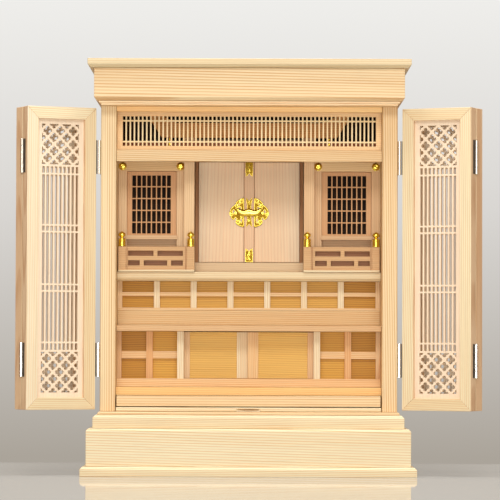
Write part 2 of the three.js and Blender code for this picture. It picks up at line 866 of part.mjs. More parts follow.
// Railings: a low plinth, two posts and a pierced board between them
const railingY = front + RAILING_SETBACK;
const railingZ = shrineFloorZ + RAILING_PLINTH_HEIGHT;
const railingTop = railingZ + RAILING_HEIGHT;
const railingOuter = roomHalf - RAILING_WALL_GAP;
const finialProfile = [
  [0, 0],
  [0.96, 0],
  [0.96, 0.12],
  [0.84, 0.17],
  [0.96, 0.25],
  [0.88, 0.46],
  [0.42, 0.54],
  [0.55, 0.62],
  [1, 0.75],
  [0.78, 0.88],
  [0.14, 1],
  [0, 1],
];
bothSides((side, word) => {
  const postY = railingY + (RAILING_THICKNESS - RAILING_POST_DEPTH) / 2;
  const plinthY = railingY + (RAILING_THICKNESS - RAILING_PLINTH_DEPTH) / 2;
  const near = RAILING_INNER + RAILING_END_POST;
  const far = railingOuter - RAILING_WALL_POST;
  const upperZ = railingTop - RAILING_BAR - RAILING_SLOT_HEIGHT;
  const lowerZ = railingZ + RAILING_LOWER_BAR;
  const inner = near + RAILING_BAR;
  const outer = far - RAILING_STILE;
  const middle = (inner + outer) / 2;
  const quarter = (outer - inner) / 4;
  const half = RAILING_BAR / 2;
  const slots = [
    [inner, middle - half, upperZ],
    [middle + half, outer, upperZ],
    [inner, middle - quarter - half, lowerZ],
    [middle - quarter + half, middle + quarter - half, lowerZ],
    [middle + quarter + half, outer, lowerZ],
  ].map(([a, b, z]) => rectangle(side * a, side * b, z, z + RAILING_SLOT_HEIGHT));
  addMesh(
    `railing_${word}`,
    join(
      sideBlock(
        side,
        RAILING_INNER,
        railingOuter,
        plinthY,
        plinthY + RAILING_PLINTH_DEPTH,
        shrineFloorZ,
        railingZ,
      ),
      sideBlock(
        side,
        far,
        railingOuter,
        postY,
        postY + RAILING_POST_DEPTH,
        railingZ - LAP,
        railingTop,
      ),
      sideBlock(
        side,
        RAILING_INNER,
        near,
        postY,
        postY + RAILING_POST_DEPTH,
        railingZ - LAP,
        railingTop,
      ),
      plate(
        rectangle(side * (near - LAP), side * (far + LAP), railingZ - LAP, railingTop),
        slots,
        railingY,
        railingY + RAILING_THICKNESS,
      ),
    ),
    rosyCypress,
  );
  const profile = finialProfile.map(([r, h]) => [r * FINIAL_RADIUS, h * FINIAL_HEIGHT]);
  const finialY = postY + RAILING_POST_DEPTH / 2;
  const finialZ = railingTop + SEAT;
  const wallX = side * (railingOuter - RAILING_WALL_POST / 2);
  const endX = side * (RAILING_INNER + RAILING_END_POST / 2);
  addMesh(`finial_wall_${word}`, turned(profile, FINIAL_SIDES, wallX, finialY, finialZ), brass);
  addMesh(`finial_end_${word}`, turned(profile, FINIAL_SIDES, endX, finialY, finialZ), brass);
});

// Bays: beam, posts, sill and apron in one frame, with a lattice window let into it
const bayY = front + BAY_SETBACK;
const bayBack = bayY + BAY_DEPTH;
const bayBeamY = front + BAY_BEAM_SETBACK;
const baySillZ = shrineFloorZ + BAY_SILL_RISE;
const frontPostX = BAY_INNER_POST_X + BAY_FRONT_POST_OVERLAP - BAY_FRONT_POST;
bothSides((side, word) => {
  const wallPostX = boardHalf - BAY_WALL_POST;
  const innerPostX = BAY_INNER_POST_X + BAY_INNER_POST;
  addMesh(
    `bay_frame_${word}`,
    join(
      sideBlock(side, BAY_INNER_POST_X, boardHalf, bayBeamY, bayBack, bayBeamZ, bayTop),
      sideBlock(side, wallPostX, boardHalf, bayY, bayBack, shrineFloorZ, bayBeamZ + LAP),
      sideBlock(side, BAY_INNER_POST_X, innerPostX, bayY, bayBack, shrineFloorZ, bayBeamZ + LAP),
      sideBlock(
        side,
        BAY_HEAD_BOARD_INNER,
        boardHalf,
        bayY,
        bayY + BAY_HEAD_BOARD_THICKNESS,
        bayTop - LAP,
        bayTop + BAY_HEAD_BOARD_RISE,
      ),
      sideBlock(
        side,
        frontPostX,
        frontPostX + BAY_FRONT_POST,
        front + BAY_FRONT_POST_SETBACK,
        bayBack,
        shrineFloorZ,
        canopyZ - SEAT,
      ),
      sideBlock(
        side,
        innerPostX - LAP,
        wallPostX + LAP,
        bayY - BAY_SILL_PROUD,
        bayBack,
        baySillZ,
        baySillZ + BAY_SILL_HEIGHT,
      ),
      sideBlock(
        side,
        innerPostX - LAP,
        wallPostX + LAP,
        bayBack - BAY_APRON_THICKNESS,
        bayBack,
        shrineFloorZ,
        baySillZ + LAP,
      ),
    ),
    rosyCypress,
  );
  const x0 = innerPostX + SEAT;
  const x1 = wallPostX - SEAT;
  const z0 = baySillZ + BAY_SILL_HEIGHT + SEAT;
  const z1 = bayBeamZ - SEAT;
  const paneWidth = (x1 - x0 - 2 * WINDOW_STILE - (WINDOW_COLUMNS - 1) * WINDOW_BAR) / WINDOW_COLUMNS;
  const paneHeight = (z1 - z0 - 2 * WINDOW_STILE - (WINDOW_ROWS - 1) * WINDOW_BAR) / WINDOW_ROWS;
  const panes = [];
  for (let i = 0; i < WINDOW_COLUMNS; i += 1) {
    for (let j = 0; j < WINDOW_ROWS; j += 1) {
      const x = x0 + WINDOW_STILE + i * (paneWidth + WINDOW_BAR);
      const z = z0 + WINDOW_STILE + j * (paneHeight + WINDOW_BAR);
      panes.push(rectangle(side * x, side * (x + paneWidth), z, z + paneHeight));
    }
  }
  addMesh(
    `window_lattice_${word}`,
    plate(
      rectangle(side * x0, side * x1, z0, z1),
      panes,
      front + WINDOW_SETBACK,
      front + WINDOW_SETBACK + WINDOW_THICKNESS,
    ),
    rosyCypress,
  );
  const bossProfile = [
    [0, 0],
    [BOSS_RADIUS, 0],
    [BOSS_RADIUS * 0.86, BOSS_HEIGHT * 0.6],
    [BOSS_RADIUS * 0.45, BOSS_HEIGHT],
    [0, BOSS_HEIGHT],
  ];
  const bossZ = bayBeamZ + BOSS_MARGIN + BOSS_RADIUS;
  const bossXs = {
    inner: BAY_INNER_POST_X + BAY_FRONT_POST_OVERLAP + SEAT + BOSS_RADIUS,
    outer: boardHalf - BAY_WALL_POST / 2,
  };
  for (const [place, x] of Object.entries(bossXs)) {
    const boss = new THREE.LatheGeometry(
      bossProfile.map(([r, h]) => new THREE.Vector2(r, h)),
      BOSS_SIDES,
    );
    boss.rotateX(Math.PI);
    boss.rotateY(Math.PI / BOSS_SIDES);
    const geometry = geometryOf(solidOf(boss));
    geometry.translate(side * x, bayBeamY - SEAT, bossZ);
    addMesh(`boss_${place}_${word}`, geometry, brass);
  }
});

// Threshold and the hollow shrine box, open to the front, with a lid and a header board on it
addMesh(
  "shrine_threshold",
  block(
    -frontPostX + SEAT,
    frontPostX - SEAT,
    front + THRESHOLD_SETBACK,
    front + SHRINE_DOOR_SETBACK + SHRINE_DEPTH,
    shrineFloorZ,
    shrineFloorZ + THRESHOLD_HEIGHT,
  ),
  rosyCypress,
);
const shrineDoorY = front + SHRINE_DOOR_SETBACK;
const shrineBoxY = shrineDoorY + SHRINE_DOOR_THICKNESS + SHRINE_DOOR_GAP;
const shrineBack = shrineDoorY + SHRINE_DEPTH;
const headerY = front + HEADER_SETBACK;
const headerHalf = frontPostX - SEAT;
addMesh(
  "shrine_box",
  join(
    cut(
      block(-SHRINE_HALF_WIDTH, SHRINE_HALF_WIDTH, shrineBoxY, shrineBack, shrineZ, shrineTop),
      block(
        -SHRINE_HALF_WIDTH + SHRINE_WALL,
        SHRINE_HALF_WIDTH - SHRINE_WALL,
        shrineBoxY - LAP,
        shrineBack - SHRINE_WALL,
        shrineZ + SHRINE_WALL,
        shrineTop - SHRINE_WALL,
      ),
    ),
    block(-headerHalf, headerHalf, headerY, shrineBack, shrineTop, shrineTop + SHRINE_WALL),
    block(
      -headerHalf,
      headerHalf,
      headerY,
      headerY + HEADER_THICKNESS,
      shrineTop,
      canopyZ - SEAT,
    ),
  ),
  rosyCypress,
);

// Shrine doors with a cover batten, its end plates and a boat-shaped lock
const doorZ = shrineZ + SHRINE_DOOR_FOOT_GAP;
const doorTop = shrineTop - SHRINE_DOOR_FOOT_GAP;
bothSides((side, word) => {
  addMesh(
    `shrine_door_${word}`,
    sideBlock(
      side,
      SHRINE_DOOR_GAP / 2,
      SHRINE_HALF_WIDTH,
      shrineDoorY,
      shrineDoorY + SHRINE_DOOR_THICKNESS,
      doorZ,
      doorTop,
    ),
    rosyCypress,
  );
});
const battenY = shrineDoorY - SEAT - BATTEN_THICKNESS;
addMesh(
  "door_batten",
  block(-BATTEN_WIDTH / 2, BATTEN_WIDTH / 2, battenY, battenY + BATTEN_THICKNESS, doorZ, doorTop),
  rosyCypress,
);
const battenPlateY = battenY - SEAT - PLATE_THICKNESS;
const notch = BATTEN_PLATE_WIDTH / 2;
addMesh(
  "batten_plate_top",
  plate(
    [
      [-notch, doorTop - TOP_PLATE_HEIGHT],
      [0, doorTop - TOP_PLATE_HEIGHT + notch],
      [notch, doorTop - TOP_PLATE_HEIGHT],
      [notch, doorTop - BATTEN_PLATE_MARGIN],
      [-notch, doorTop - BATTEN_PLATE_MARGIN],
    ],
    [],
    battenPlateY,
    battenPlateY + PLATE_THICKNESS,
  ),
  brass,
);
addMesh(
  "batten_plate_foot",
  plate(
    [
      [-notch, doorZ + BATTEN_PLATE_MARGIN],
      [notch, doorZ + BATTEN_PLATE_MARGIN],
      [notch, doorZ + FOOT_PLATE_HEIGHT],
      [0, doorZ + FOOT_PLATE_HEIGHT - notch],
      [-notch, doorZ + FOOT_PLATE_HEIGHT],
    ],
    [],
    battenPlateY,
    battenPlateY + PLATE_THICKNESS,
  ),
  brass,
);

// Pierced plates on the doors: half of a cloud-shaped outline each, from the batten outward,
// as shares of the plate's reach and height
const lockZ = (doorZ + doorTop) / 2 - LOCK_DROP;
const halfOutline = [
  [0, 0.5],
  [0.23, 0.48],
  [0.48, 0.354],
  [0.75, 0.22],
  [0.94, 0.087],
  [1, 0],
  [0.92, -0.128],
  [0.69, -0.25],
  [0.56, -0.18],
  [0.42, -0.24],
  [0.42, -0.323],
  [0.54, -0.364],
  [0.375, -0.436],
  [0.083, -0.5],
  [0, -0.5],
];
const halfHoles = [
  [
    [0.48, 0.29],
    [0.4, 0.35],
    [0.31, 0.32],
    [0.37, 0.27],
  ],
  [
    [0.4, 0.17],
    [0.24, 0.25],
    [0.16, 0.2],
    [0.22, 0.14],
  ],
  [
    [0.82, 0.06],
    [0.68, 0.13],
    [0.6, 0],
    [0.76, -0.06],
  ],
  [
    [0.26, -0.26],
    [0.18, -0.16],
    [0.1, -0.26],
    [0.18, -0.4],
  ],
];
const lockPlateNear = BATTEN_WIDTH / 2 + SEAT;
const lockPlateReach = LOCK_PLATE_WIDTH / 2 - lockPlateNear;
bothSides((side, word) => {
  const place = ([x, z]) => [
    side * (lockPlateNear + x * lockPlateReach),
    lockZ + z * LOCK_PLATE_HEIGHT,
  ];
  addMesh(
    `lock_plate_${word}`,
    plate(
      halfOutline.map(place),
      halfHoles.map((hole) => hole.map(place)),
      shrineDoorY - SEAT - PLATE_THICKNESS,
      shrineDoorY - SEAT,
    ),
    brass,
  );
});
const boat = [
  [-0.5, 0.42],
  [-0.46, 0.5],
  [-0.4, 0.5],
  [-0.32, 0.2],
  [-0.16, 0.34],
  [0, 0.38],
  [0.16, 0.34],
  [0.32, 0.2],
  [0.4, 0.5],
  [0.46, 0.5],
  [0.5, 0.42],
  [0.44, 0.02],
  [0.32, -0.34],
  [0.16, -0.48],
  [0, -0.5],
  [-0.16, -0.48],
  [-0.32, -0.34],
  [-0.44, 0.02],
].map(([x, z]) => [x * LOCK_WIDTH, lockZ + LOCK_LIFT + z * LOCK_HEIGHT]);
const stem = [
  [-0.5, -0.5],
  [0, -0.38],
  [0.5, -0.5],
  [0.3, -0.26],
  [0.3, 0.26],
  [0.5, 0.5],
  [0, 0.38],
  [-0.5, 0.5],
  [-0.3, 0.26],
  [-0.3, -0.26],
].map(([x, z]) => [x * LOCK_STEM_WIDTH, lockZ + z * LOCK_STEM_HEIGHT]);
addMesh(
  "lock",
  join(
    plate(stem, [], battenPlateY, battenPlateY + PLATE_THICKNESS),
    plate(boat, [], battenPlateY - LOCK_THICKNESS, battenPlateY + PLATE_THICKNESS / 2),
  ),
  brass,
);

// Folding doors. Each leaf is drawn closed, measured from its own hinge pin, then turned open
const leafHeight = BODY_HEIGHT - LEAF_FOOT_GAP - LEAF_HEAD_GAP;
const leafZ = bodyZ + LEAF_FOOT_GAP;
const pinX = bodyHalf + PIN_SIDE_OFFSET;
const leafWidth = (pinX - LEAF_HINGE_OFFSET - LEAF_GAP - CENTRE_GAP / 2) / 2;
const foldPinX = LEAF_HINGE_OFFSET + leafWidth + LEAF_GAP / 2;
const foldPinY = -LEAF_REST_GAP - LEAF_THICKNESS - FOLD_PIN_PROUD;
const hingeLevels = {
  lower: bodyZ + HINGE_END_DISTANCE,
  upper: bodyTop - HINGE_END_DISTANCE,
};

// One leaf from x0 outward, its back face at y1: a frame with a pierced panel let into it
function leaf(side, x0, y1, notchEnd) {
  const x1 = x0 + leafWidth;
  const y0 = y1 - LEAF_THICKNESS;
  const z0 = leafZ;
  const z1 = leafZ + leafHeight;
  const tongue = LEAF_FRAME - LEAF_PANEL_TONGUE;
  const middleX = (x0 + x1) / 2;
  const middleZ = (z0 + z1) / 2;
  const openings = [];
  const bandLow = middleZ - SLAT_MIDDLE_ROW / 2;
  const bandHigh = middleZ + SLAT_MIDDLE_ROW / 2;
  const rows = [
    [z0 + SLAT_END_DISTANCE, bandLow - SLAT_ROW_BAND],
    [bandLow, bandHigh],
    [bandHigh + SLAT_ROW_BAND, z1 - SLAT_END_DISTANCE],
  ];
  for (const [low, high] of rows) {
    for (let i = 0; i < SLAT_GAPS; i += 1) {
      const x = middleX + (i - (SLAT_GAPS - 1) / 2) * SLAT_PITCH;
      openings.push(
        rectangle(side * (x - SLAT_GAP / 2), side * (x + SLAT_GAP / 2), low, high),
      );
    }
  }
  const blockRise = leafHeight / 2 - BLOCK_END_DISTANCE;
  for (const end of [-1, 1]) {
    for (let i = -2; i <= 2; i += 1) {
      for (let j = -2; j <= 2; j += 1) {
        if ((i + j) % 2 === 0) {
          const x = middleX + (i * BLOCK_PITCH) / 2;
          const z = middleZ + end * blockRise + (j * BLOCK_PITCH) / 2;
          const r = BLOCK_OPENING / 2;
          openings.push([
            [side * x, z - r],
            [side * (x + r), z],
            [side * x, z + r],
            [side * (x - r), z],
          ]);
        }
      }
    }
  }
  const frame = plate(
    rectangle(side * x0, side * x1, z0, z1),
    [rectangle(side * (x0 + LEAF_FRAME), side * (x1 - LEAF_FRAME), z0 + LEAF_FRAME, z1 - LEAF_FRAME)],
    y0,
    y1,
  );
  const panel = plate(
    rectangle(side * (x0 + tongue), side * (x1 - tongue), z0 + tongue, z1 - tongue),
    openings,
    y1 - LEAF_PANEL_REVEAL - LEAF_PANEL_THICKNESS,
    y1 - LEAF_PANEL_REVEAL,
  );
  const notches = Object.values(hingeLevels).map((z) => {
    const reach = HINGE_HEIGHT / 2 + NOTCH_END_CLEARANCE;
    const edge = notchEnd === "far" ? [x1 - KNUCKLE_NOTCH, x1 + LAP] : [x0 - LAP, x0 + KNUCKLE_NOTCH];
    return sideBlock(side, edge[0], edge[1], y0 - LAP, y0 + KNUCKLE_NOTCH, z - reach, z + reach);
  });
  return cut(join(frame, panel), ...notches);
}

// A hinge knuckle on the pin with the plate that is screwed to the nearer piece
function hinge(side, plateX0, plateX1, plateY0, plateY1, z) {
  const knuckle = new THREE.CylinderGeometry(
    KNUCKLE_RADIUS,
    KNUCKLE_RADIUS,
    HINGE_HEIGHT,
    KNUCKLE_SIDES,
  );
  knuckle.rotateX(Math.PI / 2);
  knuckle.translate(0, 0, z);
  const x0 = Math.min(side * plateX0, side * plateX1);
  const x1 = Math.max(side * plateX0, side * plateX1);
  return join(
    knuckle,
    block(x0, x1, plateY0, plateY1, z - HINGE_HEIGHT / 2, z + HINGE_HEIGHT / 2),
  );
}

bothSides((side, word) => {
  // inward runs from the wall to the middle of the cabinet
  const inward = -side;
  const cabinetPin = new THREE.Group();
  cabinetPin.position.set(side * pinX, front, 0);
  group.add(cabinetPin);
  const plateFar = PIN_SIDE_OFFSET - SEAT;
  for (const [level, z] of Object.entries(hingeLevels)) {
    addMesh(
      `wall_hinge_${level}_${word}`,
      hinge(
        inward,
        plateFar - HINGE_PLATE_THICKNESS,
        plateFar,
        0,
        HINGE_PLATE_WIDTH + KNUCKLE_RADIUS,
        z,
      ),
      steel,
      cabinetPin,
    );
  }
  const innerSwing = new THREE.Group();
  innerSwing.rotation.z = THREE.MathUtils.degToRad(side * OPEN_ANGLE);
  cabinetPin.add(innerSwing);
  addMesh(
    `door_leaf_inner_${word}`,
    leaf(inward, LEAF_HINGE_OFFSET, -LEAF_REST_GAP, "far"),
    doorCypress,
    innerSwing,
  );
  const foldPin = new THREE.Group();
  foldPin.position.set(inward * foldPinX, foldPinY, 0);
  innerSwing.add(foldPin);
  for (const [level, z] of Object.entries(hingeLevels)) {
    const edge = -LEAF_GAP / 2;
    addMesh(
      `fold_hinge_${level}_${word}`,
      hinge(
        inward,
        edge + SEAT,
        0,
        0,
        FOLD_PIN_PROUD + HINGE_PLATE_WIDTH + KNUCKLE_NOTCH,
        z,
      ),
      steel,
      foldPin,
    );
  }
  const outerSwing = new THREE.Group();
  outerSwing.rotation.z = THREE.MathUtils.degToRad(side * FOLD_ANGLE);
  foldPin.add(outerSwing);
  addMesh(
    `door_leaf_outer_${word}`,
    leaf(inward, LEAF_GAP / 2, FOLD_PIN_PROUD + LEAF_THICKNESS, "near"),
    doorCypress,
    outerSwing,
  );
});

export default group;
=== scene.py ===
"""Household altar cabinet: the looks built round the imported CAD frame.

Sizes are in millimetres and are turned into metres where a piece is made. The frame is the CAD
frame: the origin is the middle of the underside, +Z is up and the front faces -Y.
"""

import json
import math

import bmesh
import bpy
from mathutils import Euler, Matrix, Vector


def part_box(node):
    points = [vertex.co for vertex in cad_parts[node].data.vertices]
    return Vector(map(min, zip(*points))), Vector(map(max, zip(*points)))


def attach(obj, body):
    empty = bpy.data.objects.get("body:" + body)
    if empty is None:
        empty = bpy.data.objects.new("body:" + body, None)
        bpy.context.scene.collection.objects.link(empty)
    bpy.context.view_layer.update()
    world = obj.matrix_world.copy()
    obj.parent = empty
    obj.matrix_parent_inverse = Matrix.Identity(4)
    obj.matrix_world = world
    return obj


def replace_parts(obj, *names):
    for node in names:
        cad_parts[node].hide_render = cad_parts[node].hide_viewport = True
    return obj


MM = 0.001

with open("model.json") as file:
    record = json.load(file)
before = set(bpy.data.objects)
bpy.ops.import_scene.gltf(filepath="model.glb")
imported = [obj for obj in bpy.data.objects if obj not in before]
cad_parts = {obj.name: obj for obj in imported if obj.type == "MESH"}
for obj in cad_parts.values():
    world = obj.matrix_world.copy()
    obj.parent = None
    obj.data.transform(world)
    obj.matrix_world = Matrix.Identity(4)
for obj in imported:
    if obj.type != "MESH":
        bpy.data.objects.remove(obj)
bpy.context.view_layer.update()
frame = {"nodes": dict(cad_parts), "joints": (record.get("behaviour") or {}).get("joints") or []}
nodes = frame["nodes"]
SIDES = (("left", -1), ("right", 1))


def low(node):
    """Lowest corner of a CAD node, in millimetres."""
    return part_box(node)[0] / MM


def high(node):
    """Highest corner of a CAD node, in millimetres."""
    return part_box(node)[1] / MM


FRONT = low("side_wall_left").y
joints = {joint["name"]: joint for joint in frame["joints"]}


# Colours and node helpers
def srgb(red, green, blue):
    """A colour given as screen values from 0 to 255, as the linear colour that nodes take."""
    linear = []
    for value in (red, green, blue):
        c = value / 255
        linear.append(c / 12.92 if c <= 0.04045 else ((c + 0.055) / 1.055) ** 2.4)
    return (*linear, 1.0)


def add(tree, kind, inputs=None, **properties):
    """A new node with its properties, and its inputs set or linked by name or number."""
    made = tree.nodes.new(kind)
    for name, value in properties.items():
        setattr(made, name, value)
    for name, value in (inputs or {}).items():
        if isinstance(value, bpy.types.NodeSocket):
            tree.links.new(value, made.inputs[name])
        else:
            made.inputs[name].default_value = value
    return made


def new_material(name):
    """An empty node material, its tree, its Principled shader and its object coordinates."""
    material = bpy.data.materials.new(name)
    material.use_nodes = True
    tree = material.node_tree
    position = add(tree, "ShaderNodeTexCoord").outputs["Object"]
    return material, tree, tree.nodes["Principled BSDF"], position


def surface(tree, shader, colour, roughness):
    """Links the colour and the roughness of a shader."""
    tree.links.new(colour, shader.inputs["Base Color"])
    tree.links.new(roughness, shader.inputs["Roughness"])


def number(tree, operation, first, second):
    """Result of a sum or a product of two numbers."""
    return add(tree, "ShaderNodeMath", {0: first, 1: second}, operation=operation).outputs[0]


def vector(tree, operation, first, second):
    """Result of a sum, a difference or a product of two vectors."""
    return add(tree, "ShaderNodeVectorMath", {0: first, 1: second}, operation=operation).outputs[0]


def rotated(tree, point, turns):
    """A point turned about X, Y and Z."""
    inputs = {"Vector": point, "Rotation": turns}
    return add(tree, "ShaderNodeVectorRotate", inputs, rotation_type="EULER_XYZ").outputs[0]


def bumped(tree, shader, height, strength, distance):
    """Gives a shader a bump, its distance in millimetres, over the bump that it has already."""
    inputs = {"Strength": strength, "Distance": distance * MM, "Height": height}
    for link in shader.inputs["Normal"].links:
        inputs["Normal"] = link.from_socket
    tree.links.new(add(tree, "ShaderNodeBump", inputs).outputs[0], shader.inputs["Normal"])


def ramped(tree, factor, *stops):
    """A colour ramp on a factor, with its stops as (place, colour)."""
    ramp = add(tree, "ShaderNodeValToRGB", {"Fac": factor})
    elements = ramp.color_ramp.elements
    elements[0].position, elements[0].color = stops[0]
    elements[1].position, elements[1].color = stops[-1]
    for place, colour in stops[1:-1]:
        elements.new(place).color = colour
    return ramp


def stretched_noise(tree, point, stretch, detail=2.0):
    """Noise on coordinates scaled by stretch, in cycles per metre along each axis."""
    inputs = {"Vector": vector(tree, "MULTIPLY", point, stretch), "Scale": 1.0, "Detail": detail}
    return add(tree, "ShaderNodeTexNoise", inputs).outputs["Fac"]


def spread(tree, value, to_low, to_high, from_low=0.0, from_high=1.0):
    """Maps a value to another range."""
    inputs = {"Value": value, "From Min": from_low, "From Max": from_high}
    inputs.update({"To Min": to_low, "To Max": to_high})
    return add(tree, "ShaderNodeMapRange", inputs).outputs[0]


def mixed(tree, factor, first, second, blend="MIX"):
    """A colour mix, whose factor and colours are values or sockets."""
    mix = add(tree, "ShaderNodeMix", data_type="RGBA", blend_type=blend)
    for socket, value in ((mix.inputs[0], factor), (mix.inputs[6], first), (mix.inputs[7], second)):
        if isinstance(value, bpy.types.NodeSocket):
            tree.links.new(value, socket)
        else:
            socket.default_value = value
    return mix.outputs[2]


# Wood
GRAIN_TURNS = {"X": (0, 0, 0), "Z": (0, math.pi / 2, 0)}
WAVE_PERIOD = 2 * math.pi / 20
RING_WAVER = 7.0
RING_SHADES = ((0, 0), (0.45, 0.1), (0.8, 1.0), (0.92, 0.8), (1, 0))
GRAIN_STRETCH = 0.07
LARGEST_LEAN = math.radians(1.6)
LEAN_STEP = 2.4
LOG_STEP = 0.731


def tones(pale, late, contrast):
    """Early and late wood of one cut, given as screen colours, and how strongly the rings show."""
    blush = [p + (q - p) * 0.42 for p, q in zip(pale, late)]
    return {"pale": srgb(*pale), "late": srgb(*late), "blush": srgb(*blush), "contrast": contrast}


CYPRESS = tones((240, 222, 182), (208, 160, 104), 1.1)
CAP = tones((227, 221, 191), (210, 180, 133), 1.0)
BASE = tones((237, 230, 200), (222, 187, 136), 1.1)
PALE_LEAF = tones((238, 231, 208), (228, 200, 154), 0.9)
WARM_LEAF = tones((236, 228, 196), (215, 179, 129), 1.0)
LATTICE = tones((247, 236, 214), (232, 203, 174), 0.6)
SHRINE = tones((255, 236, 204), (232, 188, 146), 0.5)
BAY = tones((238, 208, 164), (204, 154, 108), 0.7)
AMBER = tones((244, 220, 174), (220, 164, 104), 1.1)
MIDDLE = tones((220, 188, 142), (196, 142, 94), 1.0)
RISER = tones((231, 206, 158), (207, 153, 94), 1.1)
FLOOR_PLY = tones((246, 216, 152), (228, 168, 98), 0.9)
GOLDEN = tones((242, 208, 120), (210, 156, 70), 1.0)
# Darker copies of GOLDEN, as painted shade: the row for its recess, the side fields for being set back,
# and the end fields for the side walls' shadow.
GOLDEN_ROW_SHADED = tones((228, 184, 90), (192, 136, 52), 1.0)
GOLDEN_SIDE_SHADED = tones((228, 180, 76), (192, 134, 48), 1.0)
GOLDEN_END_SHADED = tones((204, 152, 52), (166, 108, 26), 1.0)
SHADED = tones((255, 206, 134), (214, 148, 82), 1.0)
MOULDING = tones((255, 240, 206), (238, 192, 138), 1.0)
# Brighter, oranger tone for the head rail: painted light where the cornice shades it.
HEAD_LIT = tones((255, 226, 166), (250, 188, 122), 0.7)
POST = tones((242, 216, 172), (214, 158, 104), 1.0)
PALE_POST = tones((246, 237, 207), (223, 189, 141), 1.0)
ORANGE_POST = tones((240, 200, 146), (214, 148, 88), 1.0)
WINDOW = tones((224, 180, 131), (198, 139, 90), 0.6)
THRESHOLD = tones((234, 213, 177), (211, 177, 137), 0.7)
RAILING = tones((220, 186, 138), (192, 139, 91), 0.7)
BATTEN = tones((248, 218, 182), (222, 174, 134), 0.7)
BEAM = tones((240, 208, 154), (208, 160, 104), 0.8)
TRANSOM = tones((252, 222, 172), (234, 182, 126), 0.7)
TRANSOM_BARS_LIT = tones((252, 237, 196), (246, 213, 156), 0.5)
JAMB = tones((236, 174, 120), (196, 132, 84), 0.9)
# Warmer, darker tone for the leaves' edge faces: painted shade for faces that turn away from the light.
EDGE_SHADED = tones((240, 213, 178), (213, 172, 132), 1.0)
SLOT_SHADE = tones((176, 126, 88), (140, 92, 60), 0.9)
DEEP_SHADE = tones((170, 100, 60), (130, 70, 38), 1.0)
wood_count = 0


def face_middle(node):
    """Middle of a node's front face, in millimetres."""
    middle = (low(node) + high(node)) / 2
    return Vector((middle.x, low(node).y, middle.z))


def wood(name, cut, grain, centre, heart, ring):
    """Planed softwood in the tones of a cut. The grain runs along one axis. The tree's heart lies
    off the centre by heart, in millimetres behind the face and along it, so a heart close behind
    the face and far along it gives fine straight lines. It leans a little, so that each board
    shows its own figure."""
    global wood_count
    wood_count += 1
    material, tree, shader, position = new_material(name)
    moved = vector(tree, "SUBTRACT", position, Vector(centre) * MM)
    lean = LARGEST_LEAN * math.sin(wood_count * LEAN_STEP)
    leaning = rotated(tree, rotated(tree, moved, GRAIN_TURNS[grain]), (0, lean, lean * 0.6))
    place = (wood_count * LOG_STEP, heart[0] * MM, heart[1] * MM)
    log = vector(tree, "ADD", leaning, place)
    inputs = {
        "Vector": vector(tree, "MULTIPLY", log, (GRAIN_STRETCH, 1, 1)),
        "Scale": WAVE_PERIOD / (ring * MM),
        "Distortion": RING_WAVER,
        "Detail": 3.0,
        "Detail Scale": 0.1,
        "Detail Roughness": 0.55,
    }
    kinds = {"wave_type": "RINGS", "rings_direction": "X", "wave_profile": "SAW"}
    rings = add(tree, "ShaderNodeTexWave", inputs, **kinds).outputs["Fac"]
    ramp = ramped(tree, rings, *((at, (shade, shade, shade, 1)) for at, shade in RING_SHADES))
    ramp.color_ramp.interpolation = "EASE"
    latewood = ramp.outputs["Color"]
    fibre = stretched_noise(tree, log, (12, 800, 800), 3.0)
    streak = stretched_noise(tree, log, (2.2, 130, 130), 2.0)
    broad = stretched_noise(tree, log, (1.1, 11, 11), 1.0)
    ground = mixed(tree, spread(tree, broad, 0, 1, 0.3, 0.7), cut["pale"], cut["blush"])
    reach = spread(tree, streak, 0.45 * cut["contrast"], cut["contrast"], 0.3, 0.7)
    ringed = mixed(tree, number(tree, "MULTIPLY", latewood, reach), ground, cut["late"])
    shade = spread(tree, fibre, 0.91, 1.05, 0.25, 0.75)
    surface(tree, shader, mixed(tree, 1.0, ringed, shade, "MULTIPLY"), spread(tree, fibre, 0.42, 0.62))
    bumped(tree, shader, number(tree, "ADD", fibre, spread(tree, latewood, 0, 0.6)), 0.35, 0.08)
    shader.inputs["Specular IOR Level"].default_value = 0.35
    return material


def dark_board(name):
    """Near-black board that closes the space behind a lattice; its darkness is partly its own and
    partly painted shade for that closed space.
    """
    material, tree, shader, position = new_material(name)
    fibre = stretched_noise(tree, position, (400, 400, 14))
    colour = mixed(tree, spread(tree, fibre, 0, 1, 0.35, 0.65), srgb(8, 5, 3), srgb(62, 42, 28))
    surface(tree, shader, colour, spread(tree, fibre, 0.6, 0.85))
    shader.inputs["Specular IOR Level"].default_value = 0.2
    return material


# Metals
def polished_brass(name, bright, dull, rough_low, rough_high, hammered=0.0):
    """Gilt brass with faint polishing marks, and with fine hammered grain where it is asked for."""
    material, tree, shader, position = new_material(name)
    cloud = stretched_noise(tree, position, (90, 90, 90), 3.0)
    surface(tree, shader, mixed(tree, cloud, bright, dull), spread(tree, cloud, rough_low, rough_high))
    shader.inputs["Metallic"].default_value = 1.0
    bumped(tree, shader, stretched_noise(tree, position, (2600, 2600, 300), 1.0), 0.12, 0.02)
    if hammered > 0:
        dots = add(tree, "ShaderNodeTexVoronoi", {"Vector": position, "Scale": 1100.0}, feature="F1")
        bumped(tree, shader, dots.outputs["Distance"], hammered, 0.15)
    return material


def hinge_steel(name, tint, rough_low, rough_high):
    """Steel with brushing along the hinge's length."""
    material, tree, shader, position = new_material(name)
    brushed = stretched_noise(tree, position, (1800, 1800, 40))
    deeper = [0.85 * c for c in tint[:3]] + [1.0]
    colour = mixed(tree, brushed, tint, deeper)
    surface(tree, shader, colour, spread(tree, brushed, rough_low, rough_high))
    shader.inputs["Metallic"].default_value = 1.0
    bumped(tree, shader, brushed, 0.15, 0.02)
    return material


def keyhole_black(name):
    """Unlit depth of the keyhole and rivet marks."""
    material, tree, shader, position = new_material(name)
    shade_mottle = stretched_noise(tree, position, (900, 900, 900))
    colour = mixed(tree, shade_mottle, srgb(20, 12, 4), srgb(60, 40, 12))
    surface(tree, shader, colour, spread(tree, shade_mottle, 0.5, 0.8))
    return material


